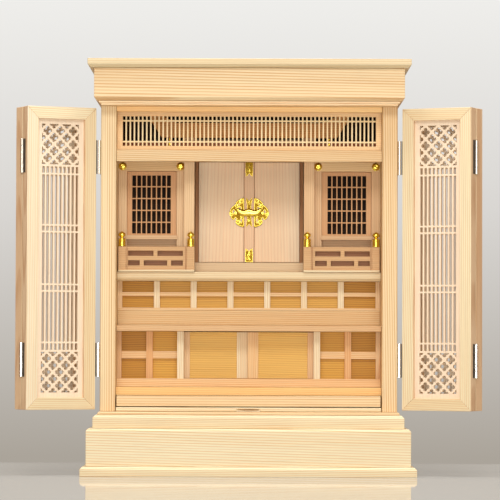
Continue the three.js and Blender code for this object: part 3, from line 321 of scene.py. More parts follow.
BRASS = polished_brass("brass_polished", srgb(255, 238, 118), srgb(240, 208, 76), 0.1, 0.2)
BRASS_CHASED = polished_brass("brass_chased", srgb(128, 98, 24), srgb(84, 60, 12), 0.28, 0.4, 0.6)
# Near-white knuckle steel and dark plate steel are lit and shaded copies of one steel: painted
# highlight and painted shade.
STEEL_LIT = hinge_steel("steel_bright", srgb(250, 248, 242), 0.12, 0.2)
STEEL_SHADED = hinge_steel("steel_plate_shaded", srgb(92, 86, 78), 0.28, 0.42)
DARK = dark_board("board_dark")
KEYHOLE = keyhole_black("keyhole_depth")


# Piece makers
def to_object(name, mesh, materials, body="cabinet", placed=None):
    """Links a mesh as a piece that rides on a body, with its materials."""
    piece = bpy.data.objects.new(name, mesh)
    bpy.context.scene.collection.objects.link(piece)
    if not mesh.materials:
        for material in materials:
            mesh.materials.append(material)
    if placed is not None:
        piece.matrix_world = placed
    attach(piece, body)
    return piece


def shaded(mesh, angle=32.0):
    """Smooth shading with sharp edges kept above the angle, in degrees."""
    mesh.shade_smooth()
    mesh.set_sharp_from_angle(angle=math.radians(angle))
    return mesh


def from_bmesh(name, bm):
    """A mesh from a bmesh whose normals are made to point outward."""
    bmesh.ops.remove_doubles(bm, verts=bm.verts, dist=0.002 * MM)
    bmesh.ops.recalc_face_normals(bm, faces=bm.faces)
    mesh = bpy.data.meshes.new(name)
    bm.to_mesh(mesh)
    bm.free()
    return mesh


def solid(name, bm, materials, body="cabinet", angle=32.0, placed=None):
    """A piece made from a bmesh, smooth where its faces meet at less than the angle."""
    return to_object(name, shaded(from_bmesh(name, bm), angle), materials, body, placed)


def block(name, ends, material, body="cabinet", slot="rosy_cypress", bevel=0.3):
    """A piece that is one board, given by its ends along X, Y and Z."""
    bm = bmesh.new()
    box_into(bm, *ends, bevel)
    return solid(name, bm, [material], body)


def dress(node, woods, ease):
    """Gives a CAD node its woods and eased edges."""
    board = nodes[node]
    board.data.materials.clear()
    for material in woods:
        board.data.materials.append(material)
    soften(board, ease)
    return board


def soften(piece, width):
    """Eases a piece's edges by a small bevel, in millimetres."""
    weld = piece.modifiers.new("weld", "WELD")
    weld.merge_threshold = 0.005 * MM
    bevel = piece.modifiers.new("eased_edges", "BEVEL")
    bevel.width = width * MM
    bevel.segments = 2
    bevel.limit_method = "ANGLE"
    bevel.angle_limit = math.radians(35)
    bevel.harden_normals = False
    bevel.use_clamp_overlap = True
    normals = piece.modifiers.new("even_normals", "WEIGHTED_NORMAL")
    normals.keep_sharp = False


def rectangle(x0, x1, z0, z1):
    return [(x0, z0), (x1, z0), (x1, z1), (x0, z1)]


def arc(cx, cz, radius, start, stop, count):
    """Points on an arc, its angles in degrees."""
    angles = [math.radians(start + (stop - start) * i / count) for i in range(count + 1)]
    return [(cx + radius * math.cos(a), cz + radius * math.sin(a)) for a in angles]


def plate_mesh(name, outlines, y0, y1, bevel):
    """An upright plate from y0 back to y1, in millimetres, with outlines of (x, z) points. The
    first outline is its edge and the others are openings. Its edges are rounded by bevel."""
    curve = bpy.data.curves.new(name, "CURVE")
    curve.dimensions = "2D"
    curve.fill_mode = "BOTH"
    curve.extrude = ((y1 - y0) / 2 - bevel) * MM
    curve.bevel_depth = bevel * MM
    curve.bevel_resolution = 0
    curve.offset = -bevel * MM
    for outline in outlines:
        spline = curve.splines.new("POLY")
        spline.points.add(len(outline) - 1)
        for point, (x, z) in zip(spline.points, outline):
            point.co = (x * MM, z * MM, 0, 1)
        spline.use_cyclic_u = True
    holder = bpy.data.objects.new(name + "_outline", curve)
    bpy.context.scene.collection.objects.link(holder)
    graph = bpy.context.evaluated_depsgraph_get()
    mesh = bpy.data.meshes.new_from_object(holder.evaluated_get(graph))
    bpy.data.objects.remove(holder)
    bpy.data.curves.remove(curve)
    mesh.name = name
    upright = Matrix.Rotation(math.pi / 2, 4, "X")
    upright.translation = (0, (y0 + y1) / 2 * MM, 0)
    mesh.transform(upright)
    bm = bmesh.new()
    bm.from_mesh(mesh)
    bmesh.ops.remove_doubles(bm, verts=bm.verts, dist=0.004 * MM)
    bmesh.ops.recalc_face_normals(bm, faces=bm.faces)
    bm.to_mesh(mesh)
    bm.free()
    return shaded(mesh, 40)


def join_rings(bm, rings, closed=True):
    """Faces between each ring of points and the next. A ring of one point is a tip."""
    for one, other in zip(rings, rings[1:]):
        count = max(len(one), len(other))
        for i in range(count if closed else count - 1):
            j = (i + 1) % count
            corners = [one[i % len(one)], one[j % len(one)]]
            corners += [other[j % len(other)], other[i % len(other)]]
            unique = list(dict.fromkeys(corners))
            if len(unique) > 2:
                bm.faces.new(unique)


def lathe_into(bm, profile, sides, origin, axis="Z"):
    """Adds a turned solid to a bmesh. The profile holds (radius, height) pairs that start and end
    on the axis, in millimetres; axis is Z for upright and Y for one that points to the front."""
    rings = []
    for radius, height in profile:
        ring = []
        for i in range(sides if radius > 0 else 1):
            a = 2 * math.pi * i / sides
            x, y = radius * math.cos(a), radius * math.sin(a)
            local = Vector((x, y, height)) if axis == "Z" else Vector((x, -height, y))
            ring.append(bm.verts.new((Vector(origin) + local) * MM))
        rings.append(ring)
    join_rings(bm, rings)


def box_into(bm, x0, x1, y0, y1, z0, z1, bevel=0.3, slot=0):
    """Adds a block with eased edges to a bmesh, in millimetres."""
    verts = bmesh.ops.create_cube(bm, size=1.0)["verts"]
    middle = Vector((x0 + x1, y0 + y1, z0 + z1)) / 2
    size = Vector((x1 - x0, y1 - y0, z1 - z0))
    for v in verts:
        v.co = (middle + v.co * size) * MM
    for face in {f for v in verts for f in v.link_faces}:
        face.material_index = slot
    if bevel > 0:
        edges = list({e for v in verts for e in v.link_edges})
        shape = {"segments": 2, "profile": 0.6, "affect": "EDGES", "material": slot}
        bmesh.ops.bevel(bm, geom=edges, offset=bevel * MM, **shape)


# Boards that keep their CAD form, with wood of their own and eased edges
BOARDS = (
    ("foot_board", BASE, "X", (10, 130), 3.4, 0.5, "base_cypress"),
    ("plinth_frame", BASE, "X", (-6, 150), 3.9, 0.6, "base_cypress"),
    ("step_board", WARM_LEAF, "X", (14, 110), 3.2, 0.6, "base_cypress"),
    ("sill_board", CYPRESS, "X", (8, 90), 3.0, 0.4, "pale_cypress"),
    ("back_panel", CYPRESS, "Z", (60, 150), 4.0, 0.4, "pale_cypress"),
    ("cornice_moulding", MOULDING, "X", (20, 80), 2.6, 0.4, "pale_cypress"),
    ("fascia_frame", CYPRESS, "X", (44, 72), 3.6, 0.5, "pale_cypress"),
    ("cap_board", CAP, "X", (12, 90), 3.2, 0.6, "pale_cypress"),
    ("head_rail", HEAD_LIT, "X", (10, 120), 2.8, 0.4, "rosy_cypress"),
    ("lintel", CYPRESS, "X", (10, 140), 3.2, 0.4, "pale_cypress"),
    ("canopy_board", SHADED, "X", (16, 100), 3.4, 0.4, "shaded_board"),
    ("pull_out_board", WARM_LEAF, "X", (8, 120), 3.0, 1.0, "pale_cypress"),
    ("apron_board", CYPRESS, "X", (30, 66), 3.6, 0.6, "pale_cypress"),
    ("cupboard_floor", FLOOR_PLY, "X", (8, 100), 2.8, 0.4, "golden_ply"),
    ("middle_shelf", MIDDLE, "X", (12, 120), 2.8, 0.5, "pale_cypress"),
    ("step_riser", RISER, "X", (16, 130), 3.0, 0.4, "pale_cypress"),
    ("shrine_shelf", BASE, "X", (10, 110), 2.8, 0.5, "rosy_cypress"),
    ("shrine_threshold", THRESHOLD, "X", (10, 120), 2.8, 0.4, "rosy_cypress"),
    ("shrine_box", BAY, "Z", (40, 100), 3.0, 0.4, "rosy_cypress"),
    ("door_batten", BATTEN, "Z", (8, 90), 2.6, 0.4, "rosy_cypress"),
    ("side_wall_left", CYPRESS, "Z", (20, 150), 3.4, 0.5, "pale_cypress"),
    ("side_wall_right", CYPRESS, "Z", (24, 170), 3.4, 0.5, "pale_cypress"),
    ("shrine_door_left", SHRINE, "Z", (14, 190), 5.2, 0.3, "rosy_cypress"),
    ("shrine_door_right", SHRINE, "Z", (20, 170), 4.8, 0.3, "rosy_cypress"),
    ("railing_left", RAILING, "X", (10, 100), 2.8, 0.3, "rosy_cypress"),
    ("railing_right", RAILING, "X", (12, 110), 2.8, 0.3, "rosy_cypress"),
)


def dress_boards():
    for node, cut, grain, heart, ring, ease, slot in BOARDS:
        dress(node, [wood("wood_" + node, cut, grain, face_middle(node), heart, ring)], ease)


BEAM_FOOT = 461
BEAM_START = 98.8
WINDOW_SILL_TOP = 362.6
SILL_ENDS = (110.9, 187.8)


def dress_bay_frames():
    """Upright grain for the posts, and level grain for the beam, the sill and the apron."""
    for word, _ in SIDES:
        node = f"bay_frame_{word}"
        centre = face_middle(node)
        woods = [
            wood(f"wood_{node}_posts", BAY, "Z", centre, (10, 100), 2.8),
            wood(f"wood_{node}_beam", BEAM, "X", centre, (12, 90), 2.8),
            wood(f"wood_{node}_sill", BAY, "X", centre, (12, 120), 2.8),
        ]
        board = dress(node, woods, 0.3)
        for face in board.data.polygons:
            x, _, z = face.center / MM
            if z > BEAM_FOOT and abs(x) > BEAM_START:
                face.material_index = 1
            elif z < WINDOW_SILL_TOP and SILL_ENDS[0] < abs(x) < SILL_ENDS[1]:
                face.material_index = 2


dress_boards()
dress_bay_frames()


# Rows of framed panels: rails and posts in rosy cypress round fields of golden ply
ROW_PITCH = 56.1
ROW_RAIL_TOP = 251.7
CUPBOARD_RAIL_TOP = 144.3
STILE_START = 4
STILE_REACH = 12.1
END_STILE = (89, 104)
# Fields farther out than this take the darker end tones, painted shade from the side walls.
END_SHADE_REACH = 145
ROW_POST = 10
ROW_FIELD_DEPTH = 80.5
CUPBOARD_FIELD_DEPTH = 65.5
CUPBOARD_POSTS = ((98, 109, PALE_POST), (145, 156, ORANGE_POST), (193, 200, POST))
# Side, depth of the ply, how far the middle stile is widened, and its tones
SLIDING_PANELS = (("right", 1, 60.8, 14.6, AMBER), ("left", -1, 68.6, 18, PALE_POST))


def frame_and_fields(node, field_front, rail_top, posts, field_tones, end_shade_tones):
    """Gives a CAD frame its wood by the member that each face belongs to, and ply for the faces
    that lie as deep as the fields. Posts are given as (x0, x1, tones). The fields beside the walls
    get darker ply tones, painted shade for the shadow of the walls."""
    centre = face_middle(node)
    deep = centre + Vector((0, 10, 0))
    woods = [
        wood(f"wood_{node}_rails", AMBER, "X", centre, (10, 118), 2.8),
        wood(f"wood_{node}_fields", field_tones, "X", deep, (6, 150), 3.4),
        wood(f"wood_{node}_ends", end_shade_tones, "X", deep, (6, 140), 3.4),
    ]
    for i, (_, _, post_tones) in enumerate(posts):
        woods.append(wood(f"wood_{node}_post_{i}", post_tones, "Z", centre, (12, 95 + 20 * i), 2.6))
    rest = 1 if node.startswith("sliding_panel") else 0
    for face in dress(node, woods, 0.3).data.polygons:
        x, y, z = face.center / MM
        over_posts = [i for i, (x0, x1, _) in enumerate(posts) if x0 <= x <= x1 and z > rail_top]
        # Deep faces are fields; those near the walls take the darker end tones as painted shade.
        if face.normal.y < -0.9 and y > field_front:
            face.material_index = 2 if abs(x) > END_SHADE_REACH else 1
        else:
            face.material_index = 3 + over_posts[0] if over_posts else rest


def dress_framed_panels():
    """The low cupboard, its sliding panels and the row of small panels."""
    half = ROW_POST / 2
    row = [(x - half, x + half, PALE_POST) for x in (ROW_PITCH * (i - 2.5) for i in range(6))]
    row += [(-200, -193, POST), (193, 200, POST)]
    low_posts = []
    for side in (-1, 1):
        for near, far, cut in CUPBOARD_POSTS:
            low_posts.append((*sorted((side * near, side * far)), cut))
    depth = FRONT + CUPBOARD_FIELD_DEPTH
    frame_and_fields("cupboard_frame", depth, CUPBOARD_RAIL_TOP, low_posts, GOLDEN_SIDE_SHADED, GOLDEN_END_SHADED)
    frame_and_fields("panel_row", FRONT + ROW_FIELD_DEPTH, ROW_RAIL_TOP, row, GOLDEN_ROW_SHADED, GOLDEN_END_SHADED)
    for word, side, ply, _, middle_tones in SLIDING_PANELS:
        stiles = [
            (*sorted((-side * STILE_START, side * STILE_REACH)), middle_tones),
            (*sorted((side * END_STILE[0], side * END_STILE[1])), BAY),
        ]
        frame_and_fields(f"sliding_panel_{word}", FRONT + ply, 0, stiles, GOLDEN, GOLDEN)


def widen_middle_stiles():
    """Strips that bring the middle stiles out over the ply, level with the stiles."""
    for word, side, ply, reach, cut in SLIDING_PANELS[::-1]:
        node = f"sliding_panel_{word}"
        foot, head = low(node), high(node)
        x0, x1 = sorted((side * (STILE_REACH - 0.2), side * reach))
        ends = (x0, x1, foot.y - 0.15, FRONT + ply + 0.6, foot.z + 0.2, head.z - 0.2)
        material = wood(f"wood_stile_strip_{word}", cut, "Z", foot, (10, 70), 2.6)
        block(f"stile_strip_{word}", ends, material, node, bevel=0.25)


dress_framed_panels()
widen_middle_stiles()


# Lattice transom with its two thin cross bars
TRANSOM_PITCH = 6.208
TRANSOM_BAR = 2.2
TRANSOM_OPENING = (495.6, 540.5)
TRANSOM_CROSS_BARS = (501.85, 533.55)
TRANSOM_GAPS = 62


def make_transom():
    """Frame of the transom, and its thin bars in one piece, their paler tone painted light."""
    foot = low("transom_lattice")
    head = high("transom_lattice")
    z0, z1 = TRANSOM_OPENING
    reach = TRANSOM_GAPS / 2 * TRANSOM_PITCH - TRANSOM_BAR / 2
    outlines = [rectangle(foot.x, head.x, foot.z, head.z), rectangle(-reach, reach, z0, z1)]
    mesh = plate_mesh("transom_frame", outlines, foot.y, head.y, 0.25)
    material = wood("wood_transom", TRANSOM, "X", foot, (10, 90), 2.8)
    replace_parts(to_object("transom_frame", mesh, [material]), "transom_lattice")
    bm = bmesh.new()
    half = TRANSOM_BAR / 2
    for i in range(1, TRANSOM_GAPS):
        x = (i - TRANSOM_GAPS / 2) * TRANSOM_PITCH
        box_into(bm, x - half, x + half, foot.y + 0.6, head.y - 0.6, z0 - 0.5, z1 + 0.5, 0.2)
    for z in TRANSOM_CROSS_BARS:
        box_into(bm, -reach - 0.5, reach + 0.5, foot.y + 0.3, head.y - 0.9, z - half, z + half, 0.2)
    # The bars' paler tone is painted light that they catch.
    material = wood("wood_transom_bars", TRANSOM_BARS_LIT, "Z", foot, (10, 90), 2.8)
    solid("transom_bars", bm, [material])


make_transom()


# Lattice windows with their bars as thin as they are made
WINDOW_PANES_X = (120, 179)
WINDOW_PANES_Z = (365.2, 454.2)
WINDOW_BAR = 1.75
WINDOW_COLUMNS = 8
WINDOW_ROWS = 5


def steps_between(ends, count, bar):
    """Start and end of each of count openings between two ends, with bars between them."""
    size = (ends[1] - ends[0] - (count - 1) * bar) / count
    return [(ends[0] + i * (size + bar), ends[0] + i * (size + bar) + size) for i in range(count)]


def make_windows():
    for word, side in SIDES:
        node = f"window_lattice_{word}"
        foot, head = low(node), high(node)
        outlines = [rectangle(foot.x, head.x, foot.z, head.z)]
        for z0, z1 in steps_between(WINDOW_PANES_Z, WINDOW_ROWS, WINDOW_BAR):
            for near, far in steps_between(WINDOW_PANES_X, WINDOW_COLUMNS, WINDOW_BAR):
                outlines.append(rectangle(*sorted((side * near, side * far)), z0, z1))
        name = f"window_{word}"
        mesh = plate_mesh(name, outlines, foot.y, head.y, 0.2)
        material = wood("wood_" + name, WINDOW, "Z", foot, (10, 90), 2.6)
        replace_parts(to_object(name, mesh, [material]), node)


make_windows()


# Dark boards behind the windows and the transom, and the jambs beside the shrine box
BACKING_REACH = 199.3
BACKING_NOTCH = 99.2
BACKING_HEIGHTS = (306.2, 511.5, 553)
BACKING_DEPTH = 97
JAMB_DEPTH = 129


def make_backing():
    """The outline leaves a notch for the shrine box."""
    foot, sill, head = BACKING_HEIGHTS
    right = [(BACKING_NOTCH, sill), (BACKING_NOTCH, foot), (BACKING_REACH, foot), (BACKING_REACH, head)]
    outline = right + [(-x, z) for x, z in right[::-1]]
    depth = FRONT + BACKING_DEPTH
    # The screen behind the windows and the transom: near-black, partly painted shade.
    mesh = plate_mesh("dark_screen", [outline], depth, depth + 2, 0.2)
    to_object("dark_screen", mesh, [DARK])
    depth = FRONT + JAMB_DEPTH
    material = wood("wood_jambs", JAMB, "Z", (0, depth, 400), (10, 90), 2.8)
    bm = bmesh.new()
    for _, side in SIDES:
        x0, x1 = sorted((side * 77.7, side * 83.2))
        box_into(bm, x0, x1, depth, depth + 4, 321.6, 477.5)
    solid("shrine_jambs", bm, [material])


make_backing()


RAILING_BACK_DEPTH = 56
REBATE = (7.6, 8.4)


def make_shade_boards():
    """Dark boards behind the railings, painted shade seen through the slots, and the narrow rebates on
    both sides of the cover batten.
    """
    depth = FRONT + RAILING_BACK_DEPTH
    material = wood("wood_railing_back", SLOT_SHADE, "X", (0, depth, 325), (10, 80), 2.8)
    for word, side in SIDES:
        foot, head = low(f"railing_{word}"), high(f"railing_{word}")
        ends = (foot.x + 12, head.x - 12, depth, depth + 2, foot.z + 4.2, head.z - 2)
        # Dark board that shows through the railing slots: painted shade.
        block(f"railing_shade_board_{word}", ends, material, bevel=0.2)
        door = f"shrine_door_{word}"
        foot, head = low(door), high(door)
        x0, x1 = sorted((side * REBATE[0], side * REBATE[1]))
        ends = (x0, x1, foot.y - 0.12, foot.y + 1, foot.z, head.z)
        block(f"rebate_{word}", ends, material, door, bevel=0.05)


RAILING_POST = 13.2
RAILING_FOOT = 2.8
RAILING_JOINT = 0.7


def make_railing_trim():
    """The thin board under each railing, and the joints between its panel and its posts."""
    depth = FRONT + 44
    strip_wood = wood("wood_railing_foot", BASE, "X", (0, depth, 307), (10, 90), 2.8)
    joint_wood = wood("wood_railing_joint", SLOT_SHADE, "Z", (0, depth, 325), (10, 80), 2.8)
    for word, _ in SIDES:
        foot, head = low(f"railing_{word}"), high(f"railing_{word}")
        top = foot.z + RAILING_FOOT
        ends = (foot.x, head.x, foot.y - 1.6, foot.y + 0.4, foot.z - 0.1, top)
        block(f"railing_foot_{word}", ends, strip_wood, bevel=0.5)
        bm = bmesh.new()
        half = RAILING_JOINT / 2
        for x in (foot.x + RAILING_POST, head.x - RAILING_POST):
            box_into(bm, x - half, x + half, foot.y - 0.1, foot.y + 0.6, top, head.z - 0.3, 0.05)
        solid(f"railing_joints_{word}", bm, [joint_wood])


CEILING_RAIL_DEPTH = 55


def make_ceiling_rail():
    """Dark reddish board behind the foot of the transom, painted shade for the shadowed ceiling above
    the bays.
    """
    depth = FRONT + CEILING_RAIL_DEPTH
    material = wood("wood_ceiling_rail", DEEP_SHADE, "X", (0, depth, 494), (10, 80), 3.0)
    block("ceiling_rail", (-199.4, 199.4, depth, depth + 3, 486, 502), material, slot="shaded_board")


SCOOP_HALF = 18
SCOOP_DEPTH = 7
SCOOP_HEIGHT = 3.8
SCOOP_STEPS = 24


def make_scoop():
    """Slope of the finger scoop, which rises from the lower front edge."""
    foot = low("pull_out_board")
    bm = bmesh.new()
    rings = []
    for i in range(SCOOP_STEPS + 1):
        t = 0.98 * (2 * i / SCOOP_STEPS - 1)
        depth = SCOOP_DEPTH * math.sqrt(1 - t * t) - 0.1
        front, back = foot.y + 0.1, foot.y + depth
        top, underside = foot.z + SCOOP_HEIGHT - 0.1, foot.z + 0.1
        corners = ((front, underside), (back, underside), (back, top))
        rings.append([bm.verts.new(Vector((t * SCOOP_HALF, y, z)) * MM) for y, z in corners])
    join_rings(bm, rings)
    bm.faces.new(rings[0])
    bm.faces.new(rings[-1][::-1])
    material = wood("wood_scoop", PALE_LEAF, "X", foot, (10, 80), 3.0)
    solid("finger_scoop", bm, [material], "pull_out")


make_shade_boards()
make_railing_trim()
make_ceiling_rail()
make_scoop()


# Folding leaves, drawn shut from their own pin and then turned open with it
LEAF_WIDTH = 109.55
LEAF_THICKNESS = 21
LEAF_FRAME = 18
LEAF_FOOT = low("door_leaf_inner_left").z
LEAF_HEAD = high("door_leaf_inner_left").z
LEAF_MIDDLE = (LEAF_FOOT + LEAF_HEAD) / 2
INNER_LEAF_START = 4.4
OUTER_LEAF_START = 0.7
INNER_LEAF_BACK = -0.6
OUTER_LEAF_BACK = 21.8
LATTICE_REVEAL = 6.5
LATTICE_THICKNESS = 5.5
MITRE_LINE = 0.05
SLAT_GAP = 3.95
SLAT_PITCH = 6.65
SLAT_ROWS = ((-38, 38), (40.6, 48), (50.6, 124.7), (127.3, 137))
BLOCK_MIDDLE = 170.3
BLOCK_HALF_WIDTH = 29.25
BLOCK_HALF_HEIGHT = 30.3
FLOWER_PITCH = 10.15
LOBE_RADIUS = 3.1
LOBE_REACH = 3.85
LOBE_HALF_ANGLE = 107.5
LOBE_STEPS = 7


def leaf_place(side, word, outer):
    """Where the own frame of a leaf stands at rest, with its pin on the origin."""
    turn = -joints["door_inner_" + word]["range_deg"][0]
    pin = joints["door_inner_" + word]["pos_m"]
    if outer:
        turn -= joints["door_fold_" + word]["range_deg"][0]
        pin = joints["door_fold_" + word]["pos_m"]
    place = Matrix.Rotation(side * math.radians(turn), 4, "Z")
    place.translation = (pin[0], pin[1], 0)
    return place


def prism_into(bm, outline, y0, y1, slot=0):
    """Adds an upright prism over (x, z) points to a bmesh."""
    near = [bm.verts.new(Vector((x, y0, z)) * MM) for x, z in outline]
    far = [bm.verts.new(Vector((x, y1, z)) * MM) for x, z in outline]
    faces = [bm.faces.new(near), bm.faces.new(far[::-1])]
    count = len(outline)
    for i in range(count):
        j = (i + 1) % count
        faces.append(bm.faces.new((near[i], far[i], far[j], near[j])))
    for face in faces:
        face.material_index = slot


def clipped(points, half_width, middle, half_height):
    """An outline cut to a rectangle round (0, middle)."""
    limits = (
        (0, half_width, 1),
        (0, -half_width, -1),
        (1, middle + half_height, 1),
        (1, middle - half_height, -1),
    )
    for axis, limit, sign in limits:
        kept = []
        for here, there in zip(points, points[1:] + points[:1]):
            inside = (limit - here[axis]) * sign >= 0
            if inside:
                kept.append(here)
            if inside != ((limit - there[axis]) * sign >= 0):
                t = (limit - here[axis]) / (there[axis] - here[axis])
                kept.append(tuple(a + t * (b - a) for a, b in zip(here, there)))
        points = kept
    return points


def flower(cx, cz):
    """Four-lobed opening of the lattice blocks."""
    points = []
    for quarter in range(4):
        turn = quarter * 90
        lobe_x = cx + LOBE_REACH * math.cos(math.radians(turn))
        lobe_z = cz + LOBE_REACH * math.sin(math.radians(turn))
        start, stop = turn - LOBE_HALF_ANGLE, turn + LOBE_HALF_ANGLE
        points += arc(lobe_x, lobe_z, LOBE_RADIUS, start, stop, LOBE_STEPS)
    return points


def lattice_outlines(middle):
    """Edge and openings of a leaf's lattice panel, about x = middle."""
    reach = LEAF_WIDTH / 2 - LEAF_FRAME + 1
    rise = (LEAF_HEAD - LEAF_FOOT) / 2 - LEAF_FRAME + 1
    outlines = [rectangle(-reach, reach, -rise, rise)]
    for z0, z1 in SLAT_ROWS + tuple((-z1, -z0) for z0, z1 in SLAT_ROWS[1:]):
        for i in range(-4, 5):
            x = i * SLAT_PITCH
            outlines.append(rectangle(x - SLAT_GAP / 2, x + SLAT_GAP / 2, z0, z1))
    for end in (-1, 1):
        block = end * BLOCK_MIDDLE
        for i in range(-3, 4):
            for j in range(-3, 4):
                if (i + j) % 2 == 0:
                    points = flower(i * FLOWER_PITCH, block + j * FLOWER_PITCH)
                    outlines.append(clipped(points, BLOCK_HALF_WIDTH, block, BLOCK_HALF_HEIGHT))
    return [[(middle + x, LEAF_MIDDLE + z) for x, z in outline] for outline in outlines]


def notched(mesh, boxes):
    """The mesh with blocks, each given by its ends along X, Y and Z, cut away."""
    bm = bmesh.new()
    for ends in boxes:
        box_into(bm, *ends, bevel=0)
    tool_mesh = from_bmesh("notch_tool", bm)
    tool = bpy.data.objects.new("notch_tool", tool_mesh)
    target = bpy.data.objects.new("notch_target", mesh)
    for made in (tool, target):
        bpy.context.scene.collection.objects.link(made)
    cut = target.modifiers.new("cut", "BOOLEAN")
    cut.operation = "DIFFERENCE"
    cut.solver = "EXACT"
    cut.object = tool
    graph = bpy.context.evaluated_depsgraph_get()
    result = bpy.data.meshes.new_from_object(target.evaluated_get(graph))
    for made in (tool, target):
        bpy.data.objects.remove(made)
    bpy.data.meshes.remove(tool_mesh)
    result.name = mesh.name
    return result


def leaf_frame_mesh(name, near, far, y0, y1):
    """Stiles and rails of a leaf, mitred at their corners. The face of each member has its own
    material number, and all the edges share the last."""
    bm = bmesh.new()
    foot, head, line = LEAF_FOOT, LEAF_HEAD, MITRE_LINE
    for member, (edge, inner) in enumerate(((near, near + LEAF_FRAME), (far, far - LEAF_FRAME))):
        outline = [
            (edge, foot + line),
            (inner, foot + LEAF_FRAME + line),
            (inner, head - LEAF_FRAME - line),
            (edge, head - line),
        ]
        prism_into(bm, outline, y0, y1, member)
    for edge, inner in ((foot, foot + LEAF_FRAME), (head, head - LEAF_FRAME)):
        outline = [
            (near + line, edge),
            (far - line, edge),
            (far - LEAF_FRAME - line, inner),
            (near + LEAF_FRAME + line, inner),
        ]
        prism_into(bm, outline, y0, y1, 2)
    mesh = from_bmesh(name, bm)
    for face in mesh.polygons:
        if abs(face.normal.y) < 0.5:
            face.material_index = 3
    return mesh


def make_leaf(side, word, outer):
    which = "outer" if outer else "inner"
    body = f"{which}_leaf_{word}"
    place = leaf_place(side, word, outer)
    inward = -side
    start = OUTER_LEAF_START if outer else INNER_LEAF_START
    y1 = OUTER_LEAF_BACK if outer else INNER_LEAF_BACK
    y0 = y1 - LEAF_THICKNESS
    near, far = sorted((inward * start, inward * (start + LEAF_WIDTH)))
    frame_name = f"leaf_frame_{which}_{word}"
    mesh = leaf_frame_mesh(frame_name, near, far, y0, y1)
    middle = ((near + far) / 2, (y0 + y1) / 2, LEAF_MIDDLE)
    name = f"wood_leaf_{which}_{word}"
    far_tones = WARM_LEAF if side > 0 else PALE_LEAF
    woods = [
        wood(name + "_near", WARM_LEAF, "Z", (near, y1, LEAF_MIDDLE), (24, 110), 3.0),
        wood(name + "_far", far_tones, "Z", (far, y1, LEAF_MIDDLE), (-30, 120), 3.4),
        wood(name + "_rails", WARM_LEAF, "X", middle, (14, 150), 3.0),
        # The edge faces take the warmer, darker painted-shade tone.
        wood(name + "_edges", EDGE_SHADED, "Z", (0, y1, LEAF_MIDDLE), (10, 90), 2.8),
    ]
    for material in woods:
        mesh.materials.append(material)
    pin_side = inward * (start if outer else start + LEAF_WIDTH)
    way = -inward if outer else inward
    x0, x1 = sorted((pin_side - way * NOTCH_INSIDE, pin_side + way * NOTCH_OUTSIDE))
    reach = HINGE_HEIGHT / 2 + NOTCH_PLAY
    mesh = notched(mesh, [(x0, x1, y0 - 2, y0 + 2.1, z - reach, z + reach) for z in HINGE_LEVELS])
    leaf_frame = to_object(frame_name, shaded(mesh), woods, body, place)
    soften(leaf_frame, 0.5)
    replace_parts(leaf_frame, f"door_leaf_{which}_{word}")
    back = y1 - LATTICE_REVEAL
    lattice = f"leaf_lattice_{which}_{word}"
    panel = plate_mesh(lattice, lattice_outlines(middle[0]), back - LATTICE_THICKNESS, back, 0.25)
    lattice_wood = wood(name + "_lattice", LATTICE, "Z", middle, (10, 90), 2.4)
    to_object(lattice, panel, [lattice_wood], body, place)


# Butt hinges: five knuckle segments that alternate between the two plates
HINGE_HEIGHT = 51
HINGE_LEVELS = [
    (low(f"wall_hinge_{level}_left").z + high(f"wall_hinge_{level}_left").z) / 2
    for level in ("lower", "upper")
]
KNUCKLE_RADIUS = 2.5
KNUCKLE_SEGMENTS = 5
KNUCKLE_GAP = 0.12
KNUCKLE_EASE = 0.3
NOTCH_INSIDE = 2.1
NOTCH_OUTSIDE = 3
NOTCH_PLAY = 0.8
FOLD_PIN = (114.65, -22.4)


def hinge_half(name, body, place, z, plate, first):
    """One half of a hinge on its pin: every other knuckle segment, and its plate."""
    bm = bmesh.new()
    foot = z - HINGE_HEIGHT / 2
    length = HINGE_HEIGHT / KNUCKLE_SEGMENTS
    narrow = KNUCKLE_RADIUS - KNUCKLE_EASE
    for i in range(0 if first else 1, KNUCKLE_SEGMENTS, 2):
        z0 = foot + i * length + KNUCKLE_GAP
        z1 = foot + (i + 1) * length - KNUCKLE_GAP
        side = [(narrow, z0), (KNUCKLE_RADIUS, z0 + KNUCKLE_EASE)]
        side += [(KNUCKLE_RADIUS, z1 - KNUCKLE_EASE), (narrow, z1)]
        lathe_into(bm, [(0, z0), *side, (0, z1)], 20, (0, 0, 0))
    box_into(bm, *plate, foot + 0.2, foot + HINGE_HEIGHT - 0.2, 0.12, 1)
    # The knuckles take the bright steel (painted highlight), the plate the dark steel (painted shade).
    return solid(name, bm, [STEEL_LIT, STEEL_SHADED], body, placed=place)


def make_hinges(side, word):
    """Two hinges to the wall and two between the leaves. Each half is given by its name, its body,
    its place, its plate's ends across and along the pin, and whether it has the end segments."""
    inward = -side
    pin = joints["door_inner_" + word]["pos_m"]
    wall = Matrix.Translation((pin[0], pin[1], 0))
    inner = leaf_place(side, word, False)
    outer = leaf_place(side, word, True)
    fold = inner @ Matrix.Translation((inward * FOLD_PIN[0] * MM, FOLD_PIN[1] * MM, 0))
    halves = (
        ("wall_hinge_half", "cabinet", wall, (1.1, 2.2), (0, 17.2), True),
        ("wall_hinge_leaf_half", f"inner_leaf_{word}", inner, (3.1, 4.2), (-17, -0.4), False),
        ("fold_hinge_half", f"inner_leaf_{word}", fold, (-0.4, 0), (0, 14), True),
        ("fold_hinge_end_half", f"outer_leaf_{word}", outer, (0, 0.4), (0, 6), False),
    )
    for level, z in zip(("lower", "upper"), HINGE_LEVELS):
        for name, body, place, across, along, first in halves:
            plate = (*sorted((inward * across[0], inward * across[1])), *along)
            half = hinge_half(f"{name}_{level}_{word}", body, place, z, plate, first)
            if first:
                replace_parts(half, f"{name.removesuffix('_half')}_{level}_{word}")


for word, side in SIDES:
    make_leaf(side, word, False)
    make_leaf(side, word, True)
    make_hinges(side, word)


